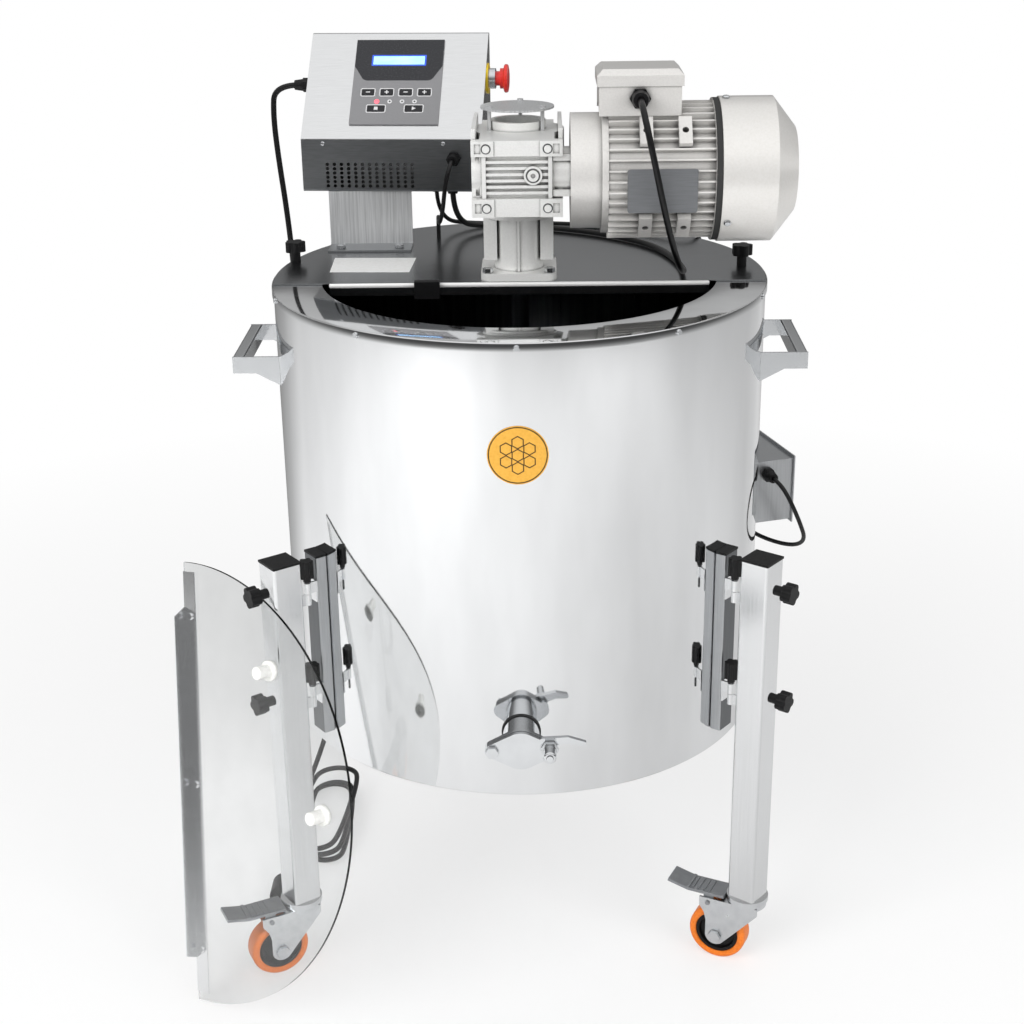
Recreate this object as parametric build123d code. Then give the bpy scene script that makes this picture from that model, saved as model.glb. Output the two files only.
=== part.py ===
"""Honey creamer: a steel mixing tank on three caster legs with a worm-geared stirrer."""
import math
import os

from build123d import *

# All lengths in mm. The origin is the tank axis at floor level, +X right, -Y to the front, +Z up.

# Fits and gaps
RUN_FIT = 0.06          # radial play of a shaft in its bearing
SLIP = 0.15             # play of a piece let into another one
FREE = 0.4              # gap between pieces that move past each other
SEAT = 0.1              # gap under a flat piece lying on a curved wall

# Tank
TANK_R = 322.0
TANK_Z0 = 317.0
RIM_TOP = 914.0
SHEET = 1.5
RIM_SHEET = 2.0
JACKET_GAP = 63.0       # between the outer and the inner wall, with the sheets
INNER_R = TANK_R - JACKET_GAP
INNER_FLOOR = 384.0
SKIRT_H = 11.0
SCREW_COUNT = 10
SCREW_HEAD_R = 4.0
SCREW_HEAD_T = 2.4
MAT_T = 2.5
MAT_Z = (420.0, 640.0)
MAT_ARC = 300.0
RING_Z = RIM_TOP - RIM_SHEET

# Handles
HANDLE_OUT = 51.0
HANDLE_X = TANK_R + HANDLE_OUT
HANDLE_HALF = 80.0
HANDLE_TOP = 828.0
GRIP_W = 15.0
GRIP_H = 22.0
ARM_T = 3.0
ARM_FLARE = 38.0

# Honey gate
GATE_Z = 409.0
PIPE_R = 23.0
PIPE_WALL = 2.0
PIPE_OUT = 44.0
PIPE_END = TANK_R + PIPE_OUT
FLANGE_T = 6.0
GATE_T = 5.5
GATE_PITCH = 35.5
GATE_EYE_R = 9.0
GATE_MID_R = 26.0
STUD_R = 4.0
STUD_Z = 5.0
STUD_LEN = 34.0
NUT_R = 8.0
NUT_LEN = 26.0
SEAL_RING = 1.6
SEAL_R = PIPE_R + SLIP + SEAL_RING
SEAL_T = 1.2

# Cover plate
PLATE_T = 2.0
PLATE_Z = RIM_TOP
PLATE_TOP = PLATE_Z + PLATE_T
PLATE_FRONT = -46.0
LIP_H = 15.0
LIP_SIDE = 8.9
LIP_HALF = math.sqrt(INNER_R**2 - PLATE_FRONT**2) - LIP_SIDE
LIP_BEAD_R = 3.5
PLATE_HOLE_R = 30.0
BEAD_Y = PLATE_FRONT + LIP_BEAD_R / 2
SWITCH_BACK = BEAD_Y - LIP_BEAD_R - SEAT
SWITCH_HOLE = (-118.0, 222.0)
SWITCH_Z = 904.5
PLATE_KNOBS = ((-104.3, 7.2), (96.4, 24.2))     # azimuth, distance in from the edge

# Gearbox and motor
GEAR_Z = 1062.0
GEAR_HALF = 56.5
WORM_Y = -63.0
HOUSING_Y = (-102.0, 66.0)
FRONT_BARS = ((1011.5, 1034.0), (1086.5, 1105.5))
FRONT_CORNER = 28.0
FRONT_SCREW_X = 38.0
FRONT_SCREW_R = 4.6
FRONT_POST = (38.5, 43.5)
RIB_COUNT = 6
RIB_PITCH = 7.6
RIB_T = 3.4
PLUG_BOSS = (19.8, 1062.8)
PLUG_BOSS_R = 11.5
WELL_R = 29.0
COLLAR_R = 36.0
CAP_R = 47.0
CAP_POST_AT = 39.0
MODULE = 3.2
TEETH = 30
WHEEL_R = MODULE * TEETH / 2
WHEEL_W = 24.0
WORM_R = -WORM_Y - WHEEL_R
WORM_TURNS = 5
LEAD = math.pi * MODULE
THREAD_UP = 2.0
THREAD_DOWN = 3.4
TOOTH_T = 3.9
JOURNAL_R = 10.0
WORM_HALF = 62.0
SHAFT_R = 12.5
PED_R = 32.0
PED_BORE = 24.0
PED_RIB_X = (28.0, 45.0)
PED_RIB_Y = 26.0
PED_RIB_LIFT = 14.0
PED_TOP_R = 46.0
PED_FLANGE = 98.0
PED_FLANGE_T = 10.0
MOTOR_X = (66.0, 112.0, 249.0, 344.0)
ADAPTER_R = 71.0
MOTOR_R = 84.0
MOTOR_CORE_R = 75.0
FIN_COUNT = 40
FIN_T = 2.2
STATOR_R = 44.0
ROTOR_R = 42.0
ROTOR_SHAFT_R = 10.0
COVER_R = 89.0
COVER_WALL = 1.6
COVER_END_R = 53.0
COVER_TAPER_X = 316.0
FAN_R = 72.0
FAN_BLADES = 8
TERM_X = (98.0, 203.0)
TERM_Z = (1128.0, 1190.0)
TERM_LID = 20.0
TERM_LIP = 2.5
TERM_HALF_Y = 45.0
TERM_GLAND_AT = (150.0, 1156.0)
TERM_GLAND_R = 13.0

# Stirrer
STIR_BOTTOM = 404.0
STIR_TOP = 1112.0
BLADE_END_GAP = 44.0
BLADE_L = INNER_R - BLADE_END_GAP
BLADE_W = 46.0
BLADE_T = 4.0
BLADE_PITCH = 35.0
BLADE_LEVELS = ((425.0, 0.0), (560.0, 60.0), (695.0, 120.0))

# Control box, in its own frame at the middle of its lower front edge
BOX_AT = (-177.5, 165.0, 993.0)
BOX_YAW = -4.5
BOX_W = 251.0
BOX_KNEE = 73.0
BOX_TOP = 200.5
BOX_TOP_Y = 122.0
BOX_DEPTH = 132.0
BOX_WALL = 2.0
VENT_R = 2.4
VENT_GRID = (13, 6)
VENT_PITCH = (9.9, 6.0)
VENT_MID = (-30.6, 22.7)
STAND_MID = -32.0
STAND_W = 116.0
STAND_T = 3.0
STAND_Y = (-36.0, 10.0)
STAND_SEAT = 33.0
STAND_BOLT = 13.0
PANEL_W = 125.0
PANEL_H = 142.0
PANEL_T = 2.2
PANEL_X = 2.5
PANEL_UP = 93.0
KEY_H = 10.0
KEY_T = 1.6
KEY_PROUD = 0.8
KEY_PITCH = 26.5
KEYS = (
    ("key_1", -1.5, -18.0, 17.0),
    ("key_2", -0.5, -18.0, 17.0),
    ("key_3", 0.5, -18.0, 17.0),
    ("key_4", 1.5, -18.0, 17.0),
    ("key_5", -1.0, -45.0, 24.0),
    ("key_6", 1.0, -45.0, 24.0),
)
ESTOP_Y = 96.0
ESTOP_Z = 141.5
ESTOP_DISC_T = 2.5
ESTOP_DISC_R = 21.0
ESTOP_COLLAR_R = 14.0
ESTOP_COLLAR_L = 12.0
ESTOP_HEAD_R = 19.5
ESTOP_TRAVEL = 5.0
GLAND_R = 10.0
GLAND_L = 20.0
SHORT_GLAND_L = 16.0
GLAND_BORE = 8.0
MAINS_GLAND_AT = (75.0, 135.5)
SWITCH_GLAND_AT = (87.4, 46.0)
MOTOR_GLAND_AT = (75.3, 72.9)
HEAT_GLAND_AT = (49.9, 87.9)
PANEL_CORNER = 1.5

# Junction box on the tank wall
JBOX_AZ = 108.0
JBOX_DEPTH = 60.0
JBOX_W = 120.0
JBOX_Z = (540.0, 632.0)
JBOX_WALL = 2.0
JBOX_LIP = 4.0
JBOX_GLAND = (22.0, 612.0)

# Legs
LEG_AZ = {"left": -52.8, "right": 52.8, "rear": 180.0}
LEG_SIDE = {"left": 1, "right": -1, "rear": -1}
BRACKET_D = 16.0
BRACKET_W = 30.0
BRACKET_Z = (350.0, 601.0)
LEG_GAP = 24.0
LEG_A = 40.0
LEG_WALL = 2.0
LEG_Z = (108.0, 602.0)
CAP_T = 3.0
LEG_IN = TANK_R + BRACKET_D + LEG_GAP
LEG_R = LEG_IN + LEG_A / 2
HINGE_Z = (556.0, 410.0)
HINGE_LEN = 30.0
BARREL_R = 4.5
PIN_R = 2.0
PIN_OFF = 14.0
PIN_IN = 10.0
PIN_AT = LEG_IN - PIN_IN
LEAF_T = 2.0
LEG_KNOB_Z = (566.0, 414.0)

# Star knobs
STAR_R = 14.0
STAR_H = 14.0
STAR_NECK_R = 6.5
STAR_NECK_H = 14.0
PIN_KNOB_R = 9.2
PIN_KNOB_H = 24.0

# Casters, built with the swivel axis at the origin and the wheel trailing along +X
WHEEL_OR = 40.0
TYRE_IN = 30.0
TYRE_W = 28.0
HUB_W = 30.0
AXLE_R = 5.0
TRAIL = 38.0
FORK_IN = 17.0
FORK_T = 3.0
FORK_TOP = 97.0
FORK_END_R = 14.0
RACE_R = 26.0
RACE_GAP_Z = 100.8
KINGPIN_R = 6.0
PEDAL_PIVOT = (50.0, 90.0)
PEDAL_PIN_R = 3.0
PEDAL_X = (28.0, 80.0, 110.0)
PEDAL_Z = 100.0
PEDAL_RISE = 7.0
PEDAL_T = 4.0
CASTER_DIR = {"left": 206.8, "right": 155.2, "rear": 180.0}

# Lid leaning on the left leg: place of its lower corner, turn, lean and tilt
LID_R = 296.0
LID_T = 4.0
LID_FOOT = (-133.5, -86.65, 1.0)        # from the middle of the left leg
LID_PASS = 6.999        # from the arc of the lid to the neck of the upper leg knob
LID_YAW = -39.17
LID_LEAN = 12.92
LID_TILT = -11.13
STRIP_END = 12.0
STRIP_W = 22.0
STRIP_FOLD = 19.0
STRIP_FOLD_HALF = 238.0
STRIP_MITRE = 12.0
STRIP_SCREWS = (-225.0, 0.0, 225.0)
STRIP_T = 1.5
LID_KNOBS = ((162.0, 167.0), (250.0, -6.0))
LID_KNOB_R = 13.5
LID_KNOB_T = 6.0
LID_STUB_R = 8.5
LID_STUB_L = 20.0

# Cords
LEAD_D = 8.0
THIN_D = 6.0
CORD_LIFT = 0.4
PLUG_AT = (-354.0, -62.0)
PLUG_R = 18.0
PLUG_L = 46.0
HANK_MID = (-314.0, 116.0)
HANK_RISE = 11.0
HANK_SPOTS = 12
# Half width, half length, shift in X and Y, and turn of each loop of the hank
HANK_LOOPS = ((33.0, 122.0, 0.0, 0.0, 0.0), (29.0, 108.0, 5.0, -9.0, 4.0), (36.0, 128.0, -3.0, 5.0, -4.0))


def cyl_x(r: float, x0: float, x1: float, y: float, z: float) -> Part:
    """Cylinder along X."""
    return Pos((x0 + x1) / 2, y, z) * Rot(0, 90, 0) * Cylinder(r, x1 - x0)


def cyl_y(r: float, y0: float, y1: float, x: float, z: float) -> Part:
    """Cylinder along Y."""
    return Pos(x, (y0 + y1) / 2, z) * Rot(90, 0, 0) * Cylinder(r, y1 - y0)


def cyl_z(r: float, z0: float, z1: float, x: float = 0.0, y: float = 0.0) -> Part:
    """Cylinder along Z."""
    return Pos(x, y, (z0 + z1) / 2) * Cylinder(r, z1 - z0)


def block(x: tuple, y: tuple, z: tuple) -> Part:
    """Box between two corners given as ranges in any order."""
    sizes = [abs(pair[1] - pair[0]) for pair in (x, y, z)]
    mids = [(pair[0] + pair[1]) / 2 for pair in (x, y, z)]
    return Pos(*mids) * Box(*sizes)


def ring_z(r_out: float, r_in: float, z0: float, z1: float, x: float = 0.0, y: float = 0.0) -> Part:
    """Tube along Z."""
    return cyl_z(r_out, z0, z1, x, y) - cyl_z(r_in, z0 - 1, z1 + 1, x, y)


def radial(az: float) -> Location:
    """Frame whose X axis points outwards at an azimuth counted from the front."""
    return Rot(0, 0, az - 90)


def prism_x(points: list, x0: float, x1: float) -> Part:
    """Extrude a closed outline given in (y, z) along X."""
    face = make_face(Plane.YZ * Polyline(*points, close=True))
    return Pos(x0, 0, 0) * extrude(face, amount=x1 - x0, dir=(1, 0, 0))


def prism_y(points: list, y0: float, y1: float) -> Part:
    """Extrude a closed outline given in (x, z) along Y."""
    face = make_face(Plane.XZ * Polyline(*points, close=True))
    return Pos(0, y0, 0) * extrude(face, amount=y1 - y0, dir=(0, 1, 0))


def hex_head(r: float, height: float) -> Part:
    """Hexagon head standing on the XY plane."""
    return extrude(RegularPolygon(r, 6), amount=height)


def gland(at: Location, cord_d: float, length: float = GLAND_L, r: float = GLAND_R) -> Part:
    """Cable gland along the Z axis of a frame on a wall, with a bore for the cord."""
    body = extrude(RegularPolygon(r, 6), amount=length * 0.4)
    body += Pos(0, 0, length * 0.4) * extrude(Circle(r * 0.84), amount=length * 0.6, taper=8)
    return at * (body - cyl_z(cord_d / 2 + SLIP, length - GLAND_BORE, length + 1))


def mouth(at: Location, length: float, out: float) -> list:
    """Two points on the axis of a gland: the cord's start in the bore and its way out."""
    spots = [(at * Pos(0, 0, length + up)).position for up in (1 - GLAND_BORE, out)]
    return [(spot.X, spot.Y, spot.Z) for spot in spots]


def star_knob(r: float, neck_r: float, neck_h: float, head_h: float) -> Part:
    """Five-lobed hand knob along +Z, neck first."""
    head = Cylinder(r * 0.78, head_h)
    for index in range(5):
        angle = math.radians(72 * index)
        head += Pos(r * 0.62 * math.cos(angle), r * 0.62 * math.sin(angle), 0) * Cylinder(r * 0.38, head_h)
    head = Pos(0, 0, neck_h + head_h / 2) * head
    return head + Pos(0, 0, neck_h / 2) * Cylinder(neck_r, neck_h)


def lens_outline(mid_r: float, eye_r: float, pitch: float) -> Sketch:
    """Pointed oval with an eye at each end, along X."""
    return make_hull((Circle(mid_r) + Pos(pitch, 0) * Circle(eye_r) + Pos(-pitch, 0) * Circle(eye_r)).edges())


def tank_nodes() -> dict:
    """Tank shells, rim, heating mat, handles and the honey gate."""
    nodes = {}
    bore = cyl_y(PIPE_R + SLIP, -TANK_R - 10, -INNER_R + 30, 0, GATE_Z)
    jacket = cyl_z(TANK_R, TANK_Z0, RING_Z)
    jacket = fillet(jacket.edges().group_by(Axis.Z)[0], 3)
    jacket -= cyl_z(TANK_R - SHEET, TANK_Z0 + RIM_SHEET, RING_Z + 1)
    nodes["outer_jacket"] = jacket - bore
    cup_r = INNER_R + SHEET
    cup = cyl_z(cup_r, INNER_FLOOR - SHEET, RING_Z) - cyl_z(INNER_R, INNER_FLOOR, RING_Z + 1)
    nodes["inner_tank"] = cup - bore
    skirt_in = TANK_R + SLIP
    skirt_out = skirt_in + RIM_SHEET
    rim = ring_z(skirt_out, INNER_R, RING_Z, RIM_TOP)
    rim = fillet(rim.edges().group_by(Axis.Z)[-1].sort_by(SortBy.RADIUS)[-1:], 1.5)
    nodes["rim_ring"] = rim + ring_z(skirt_out, skirt_in, RIM_TOP - SKIRT_H, RING_Z)
    screw_z = RIM_TOP - SKIRT_H + SCREW_HEAD_R + 0.8
    head = extrude(Circle(SCREW_HEAD_R), amount=SCREW_HEAD_T, taper=18)
    screw = Pos(skirt_out + SEAT / 2, 0, screw_z) * Rot(0, 90, 0) * head
    nodes["rim_screws"] = [radial(360 / SCREW_COUNT * index) * screw for index in range(SCREW_COUNT)]
    mat_in = cup_r + FREE
    profile = Rot(90, 0, 0) * Rectangle(MAT_T, MAT_Z[1] - MAT_Z[0])
    profile = Pos((2 * mat_in + MAT_T) / 2, 0, sum(MAT_Z) / 2) * profile
    mat = revolve(profile, Axis.Z, revolution_arc=MAT_ARC)
    nodes["heating_mat"] = Rot(0, 0, -90 + (360 - MAT_ARC) / 2) * mat
    nodes["handles"] = [handle(), Rot(0, 0, 180) * handle()]
    nodes.update(gate_nodes())
    return nodes


def handle() -> Part:
    """Side handle at +X: two flared arms and a channel-shaped grip."""
    low = HANDLE_TOP - GRIP_H
    arm_points = [
        (TANK_R - 20, HANDLE_TOP),
        (HANDLE_X, HANDLE_TOP),
        (HANDLE_X, low),
        (HANDLE_X - 30, low),
        (TANK_R - 20, HANDLE_TOP - ARM_FLARE - 6),
    ]
    arm = prism_y(arm_points, -ARM_T / 2, ARM_T / 2)
    arm_y = HANDLE_HALF - ARM_T / 2
    grip = block((HANDLE_X - GRIP_W, HANDLE_X), (-HANDLE_HALF, HANDLE_HALF), (low, HANDLE_TOP))
    grip = fillet(grip.edges().filter_by(Axis.Y).group_by(Axis.Z)[-1], 2.5)
    inside = (HANDLE_X - GRIP_W + ARM_T, HANDLE_X - ARM_T)
    grip -= block(inside, (-arm_y, arm_y), (low - 1, HANDLE_TOP - ARM_T))
    grip += Pos(0, -arm_y, 0) * arm
    grip += Pos(0, arm_y, 0) * arm
    return grip - cyl_z(TANK_R + SEAT, low - 60, HANDLE_TOP + 10)


def gate_nodes() -> dict:
    """Outlet pipe with its flange, and the swinging gate."""
    nodes = {}
    front = -PIPE_END
    pipe = cyl_y(PIPE_R, front, -INNER_R + 20, 0, GATE_Z)
    flange = extrude(Plane.XZ * lens_outline(GATE_MID_R, GATE_EYE_R, GATE_PITCH), amount=FLANGE_T)
    pipe += Pos(0, front + FLANGE_T, GATE_Z) * flange
    pipe += cyl_y(STUD_R, front - STUD_LEN, front + 1, GATE_PITCH, GATE_Z + STUD_Z)
    pipe += cyl_y(STUD_R + 4, front, front + FLANGE_T, GATE_PITCH, GATE_Z + STUD_Z)
    pipe -= cyl_y(PIPE_R - PIPE_WALL, front - 5, -INNER_R + 30, 0, GATE_Z)
    pipe -= cyl_z(INNER_R, GATE_Z - 60, GATE_Z + 60)
    bolt_top = front - SLIP * 2 - GATE_T - SLIP
    pivot = cyl_y(STUD_R, bolt_top, front, -GATE_PITCH, GATE_Z)
    pivot += Pos(-GATE_PITCH, bolt_top, GATE_Z) * Rot(90, 0, 0) * hex_head(8, 5.5)
    nodes["outlet_spout"] = [pipe, pivot]
    seal = cyl_y(SEAL_R, -TANK_R - SEAL_T, -TANK_R + 4, 0, GATE_Z)
    seal -= cyl_y(PIPE_R + SLIP, -TANK_R - 10, -TANK_R + 10, 0, GATE_Z)
    nodes["gate_seal"] = seal - cyl_z(TANK_R + SEAT, GATE_Z - 60, GATE_Z + 60)
    plate = lens_outline(GATE_MID_R - 1, GATE_EYE_R, GATE_PITCH)
    lever = make_hull((Pos(GATE_PITCH - 8, 12) * Circle(6) + Pos(GATE_PITCH + 22, 15) * Circle(4.5)).edges())
    tip = Pos(GATE_PITCH + 22, 15) * Circle(4.5) + Pos(GATE_PITCH + 42, 10) * Circle(3)
    lever += make_hull(tip.edges())
    plate += lever
    reach = 2 * GATE_PITCH
    slot_r = STUD_R + FREE
    ring = Circle(reach + slot_r) - Circle(reach - slot_r)
    start = math.degrees(math.asin(STUD_Z / reach))
    half = math.degrees(slot_r / reach)
    wedge_end = 60.0
    corners = [(0, 0)]
    for step in range(9):
        angle = math.radians(start + half - (start + half + wedge_end) * step / 8)
        corners.append((2 * reach * math.cos(angle), 2 * reach * math.sin(angle)))
    wedge = make_face(Polyline(*corners, close=True))
    slot = Pos(-GATE_PITCH, 0) * (ring & wedge)
    plate = plate - slot - Pos(-GATE_PITCH, 0) * Circle(STUD_R + RUN_FIT)
    gate = extrude(Plane.XZ * plate, amount=GATE_T)
    nodes["gate_plate"] = Pos(0, front - SLIP * 2, GATE_Z) * gate
    nut_y = front - SLIP * 2 - GATE_T - FREE
    nut = Pos(0, 0, NUT_LEN / 2) * Cylinder(NUT_R, NUT_LEN)
    nut = chamfer(nut.edges().group_by(Axis.Z)[-1], 1.5)
    nut += hex_head(NUT_R + 3, 7)
    nut -= Pos(0, 0, NUT_LEN / 2) * Cylinder(STUD_R + RUN_FIT, NUT_LEN + 2)
    nodes["gate_clamp_nut"] = Pos(GATE_PITCH, nut_y, GATE_Z + STUD_Z) * Rot(90, 0, 0) * nut
    return nodes


def junction_box() -> list:
    """Wiring box on the tank wall with a lipped cover, screws and two glands."""
    half = JBOX_W / 2
    out = TANK_R + JBOX_DEPTH
    body = block((TANK_R - 10, out), (-half, half), JBOX_Z)
    inner = (JBOX_Z[0] + JBOX_WALL, JBOX_Z[1] - JBOX_WALL)
    body -= block((TANK_R + JBOX_WALL + 8, out + 1), (-half + JBOX_WALL, half - JBOX_WALL), inner)
    body -= cyl_z(TANK_R + SEAT, JBOX_Z[0] - 10, JBOX_Z[1] + 10)
    wide = half + JBOX_LIP
    cover = block((out, out + JBOX_WALL), (-wide, wide), (JBOX_Z[0] - JBOX_LIP, JBOX_Z[1] + JBOX_LIP))
    frame = radial(JBOX_AZ)
    solids = [frame * body, frame * cover]
    head = Rot(0, 90, 0) * extrude(Circle(SCREW_HEAD_R), amount=SCREW_HEAD_T, taper=18)
    for side in (-1, 1):
        for z in inner:
            lift = 8 if z == inner[0] else -8
            solids.append(frame * Pos(out + JBOX_WALL, side * (half - 10), z + lift) * head)
    solids.append(gland(HEATER_GLAND, THIN_D))
    return solids


HEATER_GLAND = radial(JBOX_AZ) * Pos(TANK_R + JBOX_GLAND[0], -JBOX_W / 2, JBOX_GLAND[1]) * Rot(90, 0, 0)


def drive_nodes() -> dict:
    """Cover plate, gearbox, motor and stirrer."""
    nodes = {}
    plate = cyl_z(TANK_R, PLATE_Z, PLATE_TOP)
    far = 2 * TANK_R
    plate -= block((-far, far), (-far, PLATE_FRONT), (PLATE_Z - 1, PLATE_TOP + 1))
    lip = block((-LIP_HALF, LIP_HALF), (PLATE_FRONT, PLATE_FRONT + PLATE_T), (PLATE_Z - LIP_H, PLATE_TOP))
    bead = cyl_x(LIP_BEAD_R, -LIP_HALF, LIP_HALF, BEAD_Y, PLATE_TOP - LIP_BEAD_R)
    plate = plate + lip + bead
    plate -= cyl_z(PLATE_HOLE_R, PLATE_Z - 20, PLATE_TOP + 5)
    cord_r = THIN_D / 2 + FREE
    plate -= cyl_z(cord_r + 1.5, PLATE_Z - 5, PLATE_TOP + 5, *SWITCH_HOLE)
    plate -= cyl_y(cord_r, PLATE_FRONT - 1, PLATE_FRONT + 5, SWITCH_HOLE[0], SWITCH_Z)
    nodes["cover_plate"] = plate
    nodes["lid_switch"] = block((-135, -102), (SWITCH_BACK - 11, SWITCH_BACK), (PLATE_Z - 17, PLATE_TOP + 4))
    nodes["gearbox_pedestal"] = pedestal()
    nodes["gearbox_housing"] = gear_housing()
    top = GEAR_Z + GEAR_HALF
    seat = FRONT_BARS[1][1]
    cap = cyl_z(CAP_R, top + 12.5, top + 15)
    for angle in (85, 205, 325):
        cap += Rot(0, 0, angle) * cyl_z(2.5, seat, top + 13, CAP_POST_AT)
        cap += Rot(0, 0, angle) * cyl_z(4, top + 14, top + 18, CAP_POST_AT)
    nodes["gearbox_cap"] = cap
    nodes["worm_shaft"] = worm()
    nodes["worm_wheel"] = worm_wheel()
    nodes.update(motor_nodes())
    nodes["stirrer"] = stirrer()
    return nodes


def pedestal() -> list:
    """Lantern between plate and gearbox, with four foot bolts."""
    foot_top = PLATE_TOP + PED_FLANGE_T
    top = GEAR_Z - GEAR_HALF
    half = PED_FLANGE / 2
    foot_mid = 4.0
    foot = block((-half, half), (-half + foot_mid, half + foot_mid), (PLATE_TOP, foot_top))
    foot = fillet(foot.edges().filter_by(Axis.Z), 12)
    body = foot + cyl_z(PED_R, foot_top, top)
    for side in (-1, 1):
        across = (side * PED_RIB_X[0], side * PED_RIB_X[1])
        body += block(across, (-PED_RIB_Y, PED_RIB_Y), (foot_top + PED_RIB_LIFT, top))
        body += block((-1.5, 1.5), (side * (PED_R - 2), side * (PED_R + 3)), (foot_top, top))
    body += cyl_z(PED_TOP_R, top - 11, top)
    body -= cyl_z(PED_BORE, PLATE_TOP - 1, top - 14)
    body -= cyl_z(SHAFT_R + RUN_FIT, top - 20, top + 5)
    solids = [body]
    for x in (-1, 1):
        for y in (-1, 1):
            place = Pos(x * (half - 9), y * (half - 9) + foot_mid, foot_top)
            solids.append(place * hex_head(7, 6))
    return solids


def gear_housing() -> Part:
    """Worm gearbox casting: barred and ribbed front, worm tunnel, wheel chamber and open top well."""
    y0, y1 = HOUSING_Y
    low = GEAR_Z - GEAR_HALF
    top = GEAR_Z + GEAR_HALF
    shelf = FRONT_BARS[1][1]
    back = y0 + 16
    core = GEAR_HALF - 10
    body = block((-core, core), (y0 + 12, y1), (low + 13, shelf))
    body += cyl_z(GEAR_HALF + 3, low + 14, shelf)
    body += cyl_z(50, low, shelf)
    body += cyl_z(COLLAR_R, shelf, top - 2)
    for side in (-1, 1):
        wall = (side * (GEAR_HALF - 5), side * GEAR_HALF)
        body += block(wall, (back - 2, y1 - 20), (FRONT_BARS[0][1], top))
        body += block((side * FRONT_POST[0], side * FRONT_POST[1]), (y0 + 3, back), (low + 8, shelf))
    for z0, z1 in FRONT_BARS:
        mid = (z0 + z1) / 2
        body += block((-GEAR_HALF, GEAR_HALF), (y0 + 2.5, back), (z0, z1))
        for side in (-1, 1):
            ear = block((side * (GEAR_HALF - FRONT_CORNER), side * GEAR_HALF), (y0, back), (z0, z1))
            pocket = (side * (GEAR_HALF - 4), side * (GEAR_HALF - 12))
            ear -= block(pocket, (y0 - 1, y0 + 3), (mid - 6, mid + 6))
            body += ear
            body += cyl_y(FRONT_SCREW_R, y0 - 2.5, y0 + 1, side * FRONT_SCREW_X, mid)
    for index in range(RIB_COUNT):
        z = GEAR_Z - 2 + (index - (RIB_COUNT - 1) / 2) * RIB_PITCH
        body += block((-FRONT_POST[0], FRONT_POST[0]), (y0 + 4, back), (z - RIB_T / 2, z + RIB_T / 2))
    body += cyl_x(30, -GEAR_HALF, MOTOR_X[0], WORM_Y, GEAR_Z)
    for z in (GEAR_Z - 22, GEAR_Z + 22):
        body += block((GEAR_HALF - 12, MOTOR_X[0]), (y0 + 6, back), (z - 4, z + 4))
    plug_x, plug_z = PLUG_BOSS
    body += cyl_y(PLUG_BOSS_R, y0 + 1, back, plug_x, plug_z)
    body -= cyl_y(PLUG_BOSS_R - 2.5, y0, y0 + 4, plug_x, plug_z)
    body += cyl_y(PLUG_BOSS_R - 4.5, y0 - 1, y0 + 6, plug_x, plug_z)
    body -= cyl_y(PLUG_BOSS_R - 8.5, y0 - 2, y0 + 2, plug_x, plug_z)
    body -= cyl_z(WELL_R, shelf - 6, top + 5)
    body -= cyl_z(WHEEL_R + 5, GEAR_Z - WHEEL_W / 2 - 3, GEAR_Z + WHEEL_W / 2 + 3)
    body -= cyl_x(WORM_R + 5, -WORM_HALF + 15, WORM_HALF - 15, WORM_Y, GEAR_Z)
    body -= cyl_x(JOURNAL_R + RUN_FIT, -WORM_HALF + 8, MOTOR_X[0] + 5, WORM_Y, GEAR_Z)
    body -= cyl_z(SHAFT_R + RUN_FIT, low - 5, top + 5)
    return body


def worm() -> Part:
    """Single-start worm with two journals, along X."""
    root = WORM_R - THREAD_DOWN
    path = Helix(pitch=LEAD, height=LEAD * WORM_TURNS, radius=WORM_R)
    flank = math.tan(math.radians(20))
    wide = TOOTH_T / 2 + (THREAD_DOWN + 1) * flank
    slim = TOOTH_T / 2 - THREAD_UP * flank
    section_plane = Plane(origin=(WORM_R, 0, 0), x_dir=(1, 0, 0), z_dir=(0, 1, 0))
    corners = [(-THREAD_DOWN - 1, -wide), (THREAD_UP, -slim), (THREAD_UP, slim), (-THREAD_DOWN - 1, wide)]
    thread = sweep(make_face(section_plane * Polyline(*corners, close=True)), path=path, is_frenet=True)
    start = -LEAD * (WORM_TURNS // 2) - LEAD / 4
    thread = Pos(start, 0, 0) * Rot(0, 90, 0) * thread
    core = cyl_x(root, -WORM_HALF + 16, WORM_HALF - 16, 0, 0)
    core += cyl_x(JOURNAL_R, -WORM_HALF + 9, WORM_HALF, 0, 0)
    return Pos(0, WORM_Y, GEAR_Z) * (core + thread)


def worm_wheel() -> Part:
    """Thirty-tooth wheel with its teeth turned to the lead angle of the worm."""
    flank = math.tan(math.radians(20))
    root = WHEEL_R - 2.8
    tip = WHEEL_R + 1.9
    step = 360 / TEETH
    outline = []
    for index in range(TEETH):
        mid = -90 + step / 2 + index * step
        for r, sign in ((root, -1), (tip, -1), (tip, 1), (root, 1)):
            half = TOOTH_T / 2 - (r - WHEEL_R) * flank
            angle = math.radians(mid + sign * math.degrees(half / r))
            outline.append((r * math.cos(angle), r * math.sin(angle)))
    face = make_face(Polyline(*outline, close=True))
    twist = math.degrees(WHEEL_W * LEAD / (2 * math.pi * WORM_R) / WHEEL_R)
    teeth = Solid.extrude_linear_with_rotation(face.face().outer_wire(), (0, 0, 0), (0, 0, WHEEL_W), twist)
    wheel = Rot(0, 0, -twist / 2) * Part(teeth.wrapped) + Pos(0, 0, WHEEL_W / 2) * Cylinder(26, WHEEL_W + 4)
    wheel -= Pos(0, 0, WHEEL_W / 2) * Cylinder(SHAFT_R + SLIP / 2, WHEEL_W + 20)
    return Pos(0, 0, GEAR_Z - WHEEL_W / 2) * wheel


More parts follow.
